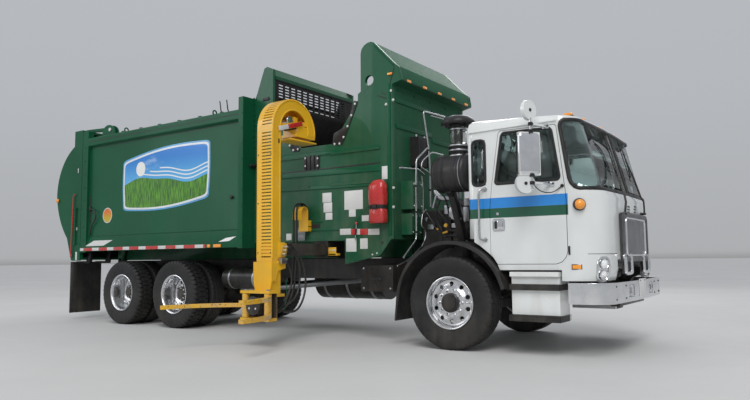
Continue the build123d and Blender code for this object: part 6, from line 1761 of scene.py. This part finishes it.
amber, white, dark, tape_r, tape_w, green, bolts, disc, pins = (Kit() for _ in range(9))
for s in (-1, 1):
    Y = s * 1.219
    # alternating tape along the sill
    x0, x1 = -7.205, -4.080
    cuts = [0, 58, 108, 170, 218, 287, 335, 405, 458, 550, 607, 682, 742, 825, 888, 905]
    for i in range(len(cuts) - 1):
        # pixel steps seen in perspective turned into lengths along the sill
        ua, ub = 84.2 + cuts[i] / 7.467, 84.2 + cuts[i + 1] / 7.467
        a, b = at_y(ua, 249.0, -1.2195), at_y(ub, 249.0, -1.2195)
        k = tape_r if i % 2 == 0 else tape_w
        k.box((a.x, Y + s * 0.0018, 1.2195), (b.x, Y - s * 0.0005, 1.2705), 0.0006)
    tape_w.box((-7.335, Y + s * 0.0018, 1.220), (-7.225, Y - s * 0.0005, 1.268), 0.0006)
    for u0, u1 in ((207.6, 210.4), (213.8, 221.0)):
        a, b = at_y(u0, 245, -1.2195), at_y(u1, 245, -1.2195)
        amber.box((a.x, Y + s * 0.016, 1.222), (b.x, Y - s * 0.001, 1.268), 0.006)
    # pale reflective plates on the sloping sill
    for pts in (((86.2, 246.7), (93.6, 240.7), (112.3, 240.0), (104.3, 246.7)), ((219.5, 242.2), (226.0, 238.0), (236.0, 236.3), (230.0, 241.0))):
        quad = []
        for u, v in pts:
            p = at_y(u, v, -1.195)
            z = min(max(p.z, 1.300), 1.440)
            yy = 1.219 - (z - 1.280) * (0.054 / 0.181)
            quad.append(Vector((p.x, s * yy, z)))
        nrm = Vector((0, s * 0.958, 0.286))
        low = [q_ - nrm * 0.0005 for q_ in quad]
        high = [q_ + nrm * 0.0028 for q_ in quad]
        white.put(low + high, [(0, 1, 2, 3), (7, 6, 5, 4)] + [(i, (i + 1) % 4, 4 + (i + 1) % 4, 4 + i) for i in range(4)])
    # seam under the roof rail, a dark strip of painted shadow in the groove under the rail's lower step, seam over the
    # sill, vertical sheet joints
    dark.box((-7.160, Y + s * 0.0012, 3.146), (-3.395, Y - s * 0.001, 3.158), 0.0005)
    dark.box((-7.160, s * 1.1665, 3.036), (-3.395, s * 1.1640, 3.046), 0.0005)
    green.box((-7.160, s * 1.1700, 1.470), (-3.395, s * 1.1640, 1.486), 0.0025)
    for x in (-7.12,):
        dark.box((x - 0.026, s * 1.1720, 1.710), (x + 0.006, s * 1.1640, 2.190), 0.003)
    # bolts down the front posts
    for i in range(9):
        z = 1.36 + 0.225 * i
        bolts.bolt((-3.315, Y, z), (0, s, 0), 0.009, 0.006)
    for i in range(8):
        z = 1.40 + 0.235 * i
        bolts.bolt((-7.250, Y, z), (0, s, 0), 0.009, 0.006)
    # hinge pins in the roof lugs
    for y in (1.041,):
        pins.rod((-6.700, s * (y + 0.061), 3.335), (-6.700, s * (y + 0.079), 3.335), 0.032, 20)
    # small dark lamp near the front post
    p = at_y(232.0, 197.2, -1.168)
    dark.rod((p.x, s * 1.165, p.z), (p.x, s * 1.200, p.z), 0.026, 18)
    # looped hose by the rear post
    dark.tube(smooth_path([(-7.120, s * 1.180, 1.960), (-7.080, s * 1.200, 1.955), (-6.960, s * 1.206, 1.930),
                           (-6.900, s * 1.204, 1.840), (-6.950, s * 1.200, 1.730), (-7.050, s * 1.196, 1.670),
                           (-7.090, s * 1.190, 1.560), (-7.095, s * 1.185, 1.500)], resolution=8), 0.012, 10)
    dark.slab((0.050, 0.024, 0.060), Matrix.Translation((-7.115, s * 1.184, 1.960)), 0.006)
    # roof hooks near the front
    for u in (221.6, 228.4):
        p = at_y(u, 120.5, -1.205)
        dark.tube(smooth_path([(p.x, s * 1.205, 3.222), (p.x, s * 1.222, 3.250), (p.x, s * 1.226, 3.300), (p.x - 0.02, s * 1.222, 3.375),
                               (p.x - 0.03, s * 1.214, 3.392)], resolution=6), 0.009, 10)
    # a round badge in warm colours
    disc.lathe([(0, 0.0022), (0.120, 0.0022), (0.122, 0.0), (0, 0.0)],
               Matrix.Translation((-6.62, s * 1.1655, 1.820)) @ Vector((0, s, 0)).to_track_quat("Z", "Y").to_matrix().to_4x4(), 40)
    tape_w.lathe([(0.118, 0.0), (0.118, 0.0032), (0.132, 0.0032), (0.132, 0.0)],
                 Matrix.Translation((-6.62, s * 1.1655, 1.820)) @ Vector((0, s, 0)).to_track_quat("Z", "Y").to_matrix().to_4x4(), 48, closed=True)
badge = Mat("warm_badge")
bz = badge.ease(badge.xyz(2), 1.74, 1.90)
badge.set(base=badge.mix(badge.math("MULTIPLY", badge.wave(9.0, "X"), 0.25), badge.mix(bz, (0.62, 0.42, 0.02), (0.78, 0.16, 0.01)), (0.02, 0.20, 0.02)),
          coat=0.5)
badge.set(rough=badge.ease(badge.noise(20.0), 0.3, 0.7, 0.2, 0.3))
badge.normal(badge.bump(badge.noise(300.0), 0.05, 0.0005))
disc.done("side_badges", badge.m, "bed")
pins.done("hinge_pin_heads", "tape_white", "bed")
amber.done("body_side_lamps", "amber", "bed")
white.done("body_reflectors", "tape_white", "bed")
# dark fittings, together with the painted shadow strip under the roof rail
dark.done("body_dark_fittings_and_groove_shadow", "plastic", "bed")
tape_r.done("body_tape_red", "tape_red", "bed")
tape_w.done("body_tape_white", "tape_white", "bed")
green.done("body_ribs", "green", "bed")
bolts.done("body_bolts", "green", "bed")

# roof: cross ribs and lifting eyes
kit, dark = Kit(), Kit()
for i in range(8):
    x = -7.00 + 0.50 * i
    kit.box((x - 0.030, -1.00, 3.270), (x + 0.030, 1.00, 3.306), 0.008)
for s in (-1, 1):
    for x in (-6.2, -4.0):
        kit.ring((x, s * 1.13, 3.262), (1, 0, 0), 0.045, 0.025, 0.018, 24)
kit.done("roof_ribs", "green", "bed")

# =============================================================== hood: edge trims, seams and lamps
green, dark, amber, bolts = Kit(), Kit(), Kit(), Kit()
for s in (-1, 1):
    a, b = Vector((-1.150, s * 0.980, 3.835)), Vector((-0.830, s * 0.980, 3.500))
    for x0, z0, x1, z1 in ((-1.145, 3.790, -0.850, 3.480), (-0.765, 3.440, -0.740, 3.300)):
        green.tube([(x0, s * 0.982, z0), (x1, s * 0.982, z1)], 0.008, 8)
    dark.tube([(-0.840, s * 0.9815, 3.452), (-0.905, s * 0.9815, 3.252)], 0.005, 6)
for i in range(5):
    y = -0.80 + 0.40 * i
    amber.slab((0.020, 0.090, 0.034), Matrix.Translation((-0.733, y, 3.288)) @ Matrix.Rotation(0.0, 4, "Y"), 0.008)
dark.box((-0.742, -0.920, 3.268), (-0.733, 0.920, 3.276), 0.002)
for y in (-0.90, -0.45, 0.0, 0.45, 0.90):
    bolts.bolt((-0.879, y * 0.95, 3.18), (1, 0, 0), 0.012, 0.008)
green.done("hood_trim", "green", "bed")
dark.done("hood_seams", "plastic", "bed")
amber.done("hood_lamps", "amber", "bed")
bolts.done("hood_bolts", "green", "bed")
# hopper head: pressed stiffeners facing the cab
kit = Kit()
for z in (1.55, 2.10, 2.65, 3.05):
    kit.box((-0.8805, 0.02, z - 0.030), (-0.868, 0.900, z + 0.030), 0.006)
for z in (2.72, 3.05):
    kit.box((-0.8805, -0.900, z - 0.030), (-0.868, 0.0, z + 0.030), 0.006)
kit.done("hopper_head_ribs", "green", "bed")

# =============================================================== left side of the hopper: ladder, box, plates, upright ribs
kit, dark, steel, white = Kit(), Kit(), Kit(), Kit()
for x in (-2.60, -2.20):
    steel.tube(smooth_path([(x, 1.000, 1.330), (x, 1.060, 1.350), (x, 1.065, 1.60), (x, 1.065, 2.60), (x, 1.065, 3.10), (x, 1.050, 3.28),
                            (x, 0.985, 3.300)], resolution=5), 0.016, 12)
for i in range(7):
    steel.rod((-2.60, 1.065, 1.45 + 0.28 * i), (-2.20, 1.065, 1.45 + 0.28 * i), 0.012, 12)
kit.box((-1.70, 0.981, 1.420), (-1.15, 1.110, 1.900), 0.014)
dark.box((-1.66, 1.108, 1.450), (-1.19, 1.116, 1.870), 0.006)
for z in (1.50, 1.82):
    steel.box((-1.200, 1.112, z - 0.020), (-1.165, 1.124, z + 0.020), 0.004)
white.box((-1.55, 0.9805, 2.10), (-1.30, 0.9835, 2.28), 0.001)
for i in range(5):
    x = -2.95 + 0.48 * i
    kit.box((x - 0.02, 0.9805, 2.56), (x + 0.02, 0.992, 3.30), 0.004)
kit.done("left_hopper_box", "green", "bed")
dark.done("left_box_door", "green_dirty", "bed")
steel.done("left_ladder", "steel", "bed")
white.done("left_plates", "blank_plate", "bed")

# =============================================================== tailgate and rear
amber, dark, red, lens_r, white, steel, green = (Kit() for _ in range(7))
for s in (-1, 1):
    # stowed prop with forked foot and head
    y = s * 1.243
    red.rod((-7.548, y, 2.205), (-7.583, y, 1.150), 0.0105, 16)
    red.ring((-7.583, y - s * 0.010, 1.140), (0, s, 0), 0.028, 0.010, 0.014, 20)
    red.tube([(-7.548, y, 2.200), (-7.530, y, 2.226), (-7.490, y, 2.232)], 0.010, 10)
    steel.rod((-7.583, s * 1.215, 1.140), (-7.583, s * 1.2545, 1.140), 0.0095, 12)
    green.box((-7.596, s * 1.205, 1.095), (-7.540, s * 1.222, 1.160), 0.004)
    # marker lamps on stalks at the widest point
    dark.tube([(-8.055, s * 1.150, 2.150), (-8.085, s * 1.180, 2.152), (-8.097, s * 1.214, 2.153)], 0.009, 10)
    q = Matrix.Translation((-8.097, s * 1.216, 2.153)) @ Vector((0, s, 0)).to_track_quat("Z", "Y").to_matrix().to_4x4()
    amber.lathe([(0, 0.034), (0.018, 0.032), (0.030, 0.022), (0.034, 0.008), (0.034, 0.0), (0.0, 0.0)], q, 24)
    # tape and pin down the post
    white.box((-7.475, s * 1.2192, 1.060), (-7.425, s * 1.2218, 1.205), 0.0008)
    white.box((-7.470, s * 1.2192, 1.590), (-7.440, s * 1.2215, 1.640), 0.0008)
    white.box((-7.470, s * 1.2192, 2.620), (-7.450, s * 1.2215, 2.700), 0.0008)
    # tail lamps in the posts' rear faces
    for z in (1.22, 1.34):
        q = Matrix.Translation((-7.597, s * 1.165, z)) @ Vector((-1, 0, 0)).to_track_quat("Z", "Y").to_matrix().to_4x4()
        (lens_r if z < 1.3 else amber).lathe([(0, 0.014), (0.030, 0.012), (0.044, 0.006), (0.048, 0.0), (0.0, 0.0)], q, 28)
        dark.lathe([(0.046, 0.0), (0.056, 0.0), (0.054, 0.008), (0.046, 0.008)], q, 28, closed=True)


def arc3(p, q, r, n):
    """points on the circle through three (x, z) pairs"""
    (ax_, ay_), (bx_, by_), (cx_, cy_) = p, q, r
    d_ = 2 * (ax_ * (by_ - cy_) + bx_ * (cy_ - ay_) + cx_ * (ay_ - by_))
    ux = ((ax_ ** 2 + ay_ ** 2) * (by_ - cy_) + (bx_ ** 2 + by_ ** 2) * (cy_ - ay_) + (cx_ ** 2 + cy_ ** 2) * (ay_ - by_)) / d_
    uy = ((ax_ ** 2 + ay_ ** 2) * (cx_ - bx_) + (bx_ ** 2 + by_ ** 2) * (ax_ - cx_) + (cx_ ** 2 + cy_ ** 2) * (bx_ - ax_)) / d_
    a0, a1, a2 = (atan2(y_ - uy, x_ - ux) % (2 * pi) for x_, y_ in (p, q, r))
    rad = hypot(ax_ - ux, ay_ - uy)
    if not min(a0, a2) <= a1 <= max(a0, a2):
        a2 += 2 * pi if a2 < a0 else -2 * pi
    return [(ux + rad * cos(a0 + (a2 - a0) * k / n), uy + rad * sin(a0 + (a2 - a0) * k / n)) for k in range(n + 1)]


back = [(-7.585, 3.135)] + arc3((-7.585, 3.135), (-7.970, 2.830), (-8.164, 2.236), 14)[1:]
back += arc3((-8.164, 2.236), (-8.055, 1.830), (-7.795, 1.455), 10)[1:] + [(-7.730, 1.280), (-7.655, 1.075)]
for y in (-0.84, -0.42, 0.0, 0.42, 0.84):
    pts = [Vector((x, y, z)) for x, z in back]
    nor = []
    for i in range(len(back)):
        (xa, za), (xb, zb) = back[max(i - 1, 0)], back[min(i + 1, len(back) - 1)]
        nor.append(Vector((zb - za, 0, -(xb - xa))).normalized())
    strip(green, pts, 0.032, 0.016, nor, closed=False)
for y in (-0.12, 0.0, 0.12):
    lens_r.slab((0.022, 0.085, 0.034), Matrix.Translation((-7.598, y, 3.260)), 0.008)
for s in (-1, 1):
    lens_r.slab((0.022, 0.085, 0.034), Matrix.Translation((-7.600, s * 1.10, 3.260)), 0.008)
    for k in range(4):
        f0, f1 = 0.16 + 0.19 * k, 0.16 + 0.19 * k + 0.17
        a, b = Vector((-7.657, 0, 1.082)).lerp(Vector((-7.792, 0, 1.450)), 0.5), None
        kit_ = white if k % 2 else red
        kit_.slab((0.004, 0.155, 0.050), Matrix.Translation((-7.726, s * (0.20 + 0.20 * k), 1.264)) @ Matrix.Rotation(radians(20.2), 4, "Y"), 0.0008)
white.slab((0.004, 0.305, 0.155), Matrix.Translation((-7.782, 0.0, 1.400)) @ Matrix.Rotation(radians(20.2), 4, "Y"), 0.001)
lens_r.done("tail_lamps", "red_lens", "tailgate_body")
red.done("tailgate_props", "red", "tailgate_body")
amber.done("tailgate_lamps", "amber", "tailgate_body")
dark.done("tailgate_dark_fittings", "plastic", "tailgate_body")
white.done("tailgate_tapes", "tape_white", "tailgate_body")
steel.done("tailgate_pins", "steel", "tailgate_body")
green.done("tailgate_brackets", "green", "tailgate_body")

# =============================================================== tanks: straps, caps, drain
steel, dark = Kit(), Kit()
for x in (-3.20, -2.75, -2.30):
    q = Matrix.Translation((x, 0.800, 0.690)) @ Matrix.Rotation(radians(90), 4, "Y")
    steel.lathe([(0.2902, -0.022), (0.2945, -0.020), (0.2945, 0.020), (0.2902, 0.022)], q, 64, closed=True)
    steel.box((x - 0.020, 0.800 + 0.292, 0.660), (x + 0.020, 0.800 + 0.304, 0.720), 0.003)
dark.rod((-2.55, 0.960, 0.930), (-2.55, 1.005, 0.975), 0.048, 24)
steel.rod((-2.55, 1.003, 0.973), (-2.55, 1.022, 0.992), 0.042, 20)
for x in (-3.95, -3.45):
    q = Matrix.Translation((x, -0.700, 0.760)) @ Matrix.Rotation(radians(90), 4, "Y")
    steel.lathe([(0.1602, -0.016), (0.1640, -0.014), (0.1640, 0.014), (0.1602, 0.016)], q, 48, closed=True)
for x in (-1.38, -0.97):
    for z in (0.66, 0.91):
        steel.bolt((x, -0.930, z), (0, -1, 0), 0.010, 0.007)
dark.box((-1.25, -0.936, 0.760), (-1.10, -0.928, 0.800), 0.003)
# closing plates between the rails, under the body
for x0, x1 in ((-7.00, -2.20), (-1.90, -1.00)):
    dark.box((x0, 0.247, 1.030), (x1, 0.253, 1.105), 0.002)
steel.done("tank_straps", "steel", "chassis")
dark.done("tank_fittings", "plastic", "chassis")


# =============================================================== floor, light
floor = Kit()
floor.lathe([(0, 0), (10, 0), (30, 0), (80, 0), (220, 0)], Matrix.Identity(4), 96)
me = bpy.data.meshes.new("floor")
me.from_pydata(floor.v, [], floor.f)
m = Mat("floor_pale")
m.set(base=m.mix(m.ease(m.noise(0.35, 5.0), 0.3, 0.7), (0.56, 0.56, 0.55), (0.60, 0.60, 0.59)))
m.set(rough=m.ease(m.noise(3.0, 5.0), 0.3, 0.7, 0.72, 0.84))
m.normal(m.bump(m.noise(45.0, 4.0), 0.06, 0.002))
me.materials.append(m.m)
stage_floor = bpy.data.objects.new("floor", me)
scene.collection.objects.link(stage_floor)

world = bpy.data.worlds.new("sky")
scene.world = world
world.use_nodes = True
wt = world.node_tree
wt.nodes.clear()
w_out = wt.nodes.new("ShaderNodeOutputWorld")
w_bg = wt.nodes.new("ShaderNodeBackground")
w_co = wt.nodes.new("ShaderNodeTexCoord")
w_sep = wt.nodes.new("ShaderNodeSeparateXYZ")
w_ramp = wt.nodes.new("ShaderNodeValToRGB")
w_map = wt.nodes.new("ShaderNodeMapRange")
w_map.inputs["From Min"].default_value = -0.3
w_map.inputs["From Max"].default_value = 1.0
wt.links.new(w_co.outputs["Generated"], w_sep.inputs[0])
wt.links.new(w_sep.outputs[2], w_map.inputs["Value"])
wt.links.new(w_map.outputs[0], w_ramp.inputs[0])
wt.links.new(w_ramp.outputs[0], w_bg.inputs[0])
wt.links.new(w_bg.outputs[0], w_out.inputs[0])
cr = w_ramp.color_ramp
cr.elements[0].position, cr.elements[0].color = 0.0, (0.42, 0.42, 0.42, 1)
cr.elements[1].position, cr.elements[1].color = 1.0, (0.95, 0.98, 1.05, 1)
for pos, col in ((0.225, (0.50, 0.50, 0.50, 1)), (0.235, (0.74, 0.76, 0.78, 1)), (0.40, (0.82, 0.85, 0.90, 1))):
    e = cr.elements.new(pos)
    e.color = col
w_bg.inputs[1].default_value = 0.56


def area(name, loc, target, size, energy, color=(1, 1, 1)):
    li = bpy.data.lights.new(name, "AREA")
    li.shape, li.size, li.size_y, li.energy, li.color = "RECTANGLE", size[0], size[1], energy, color
    ob = bpy.data.objects.new(name, li)
    ob.location = loc
    ob.rotation_mode = "QUATERNION"
    ob.rotation_quaternion = (Vector(target) - Vector(loc)).to_track_quat("-Z", "Y")
    scene.collection.objects.link(ob)


area("key", (6.0, -13.0, 11.0), (-2.5, 0, 1.2), (9.0, 6.0), 850, (1.0, 0.985, 0.96))
area("fill", (-13.0, -11.0, 8.0), (-4.5, 0, 1.5), (8.0, 6.0), 330, (0.94, 0.97, 1.0))
area("rim", (-4.0, 12.0, 10.0), (-3.0, 0, 2.0), (9.0, 5.0), 420)
sun = bpy.data.lights.new("sun", "SUN")
sun.energy, sun.angle = 0.75, radians(18)
sun_ob = bpy.data.objects.new("sun", sun)
sun_ob.rotation_mode = "QUATERNION"
sun_ob.rotation_quaternion = Vector((-0.35, 0.55, -0.95)).to_track_quat("-Z", "Y")
scene.collection.objects.link(sun_ob)
scene.view_settings.view_transform = "Standard"
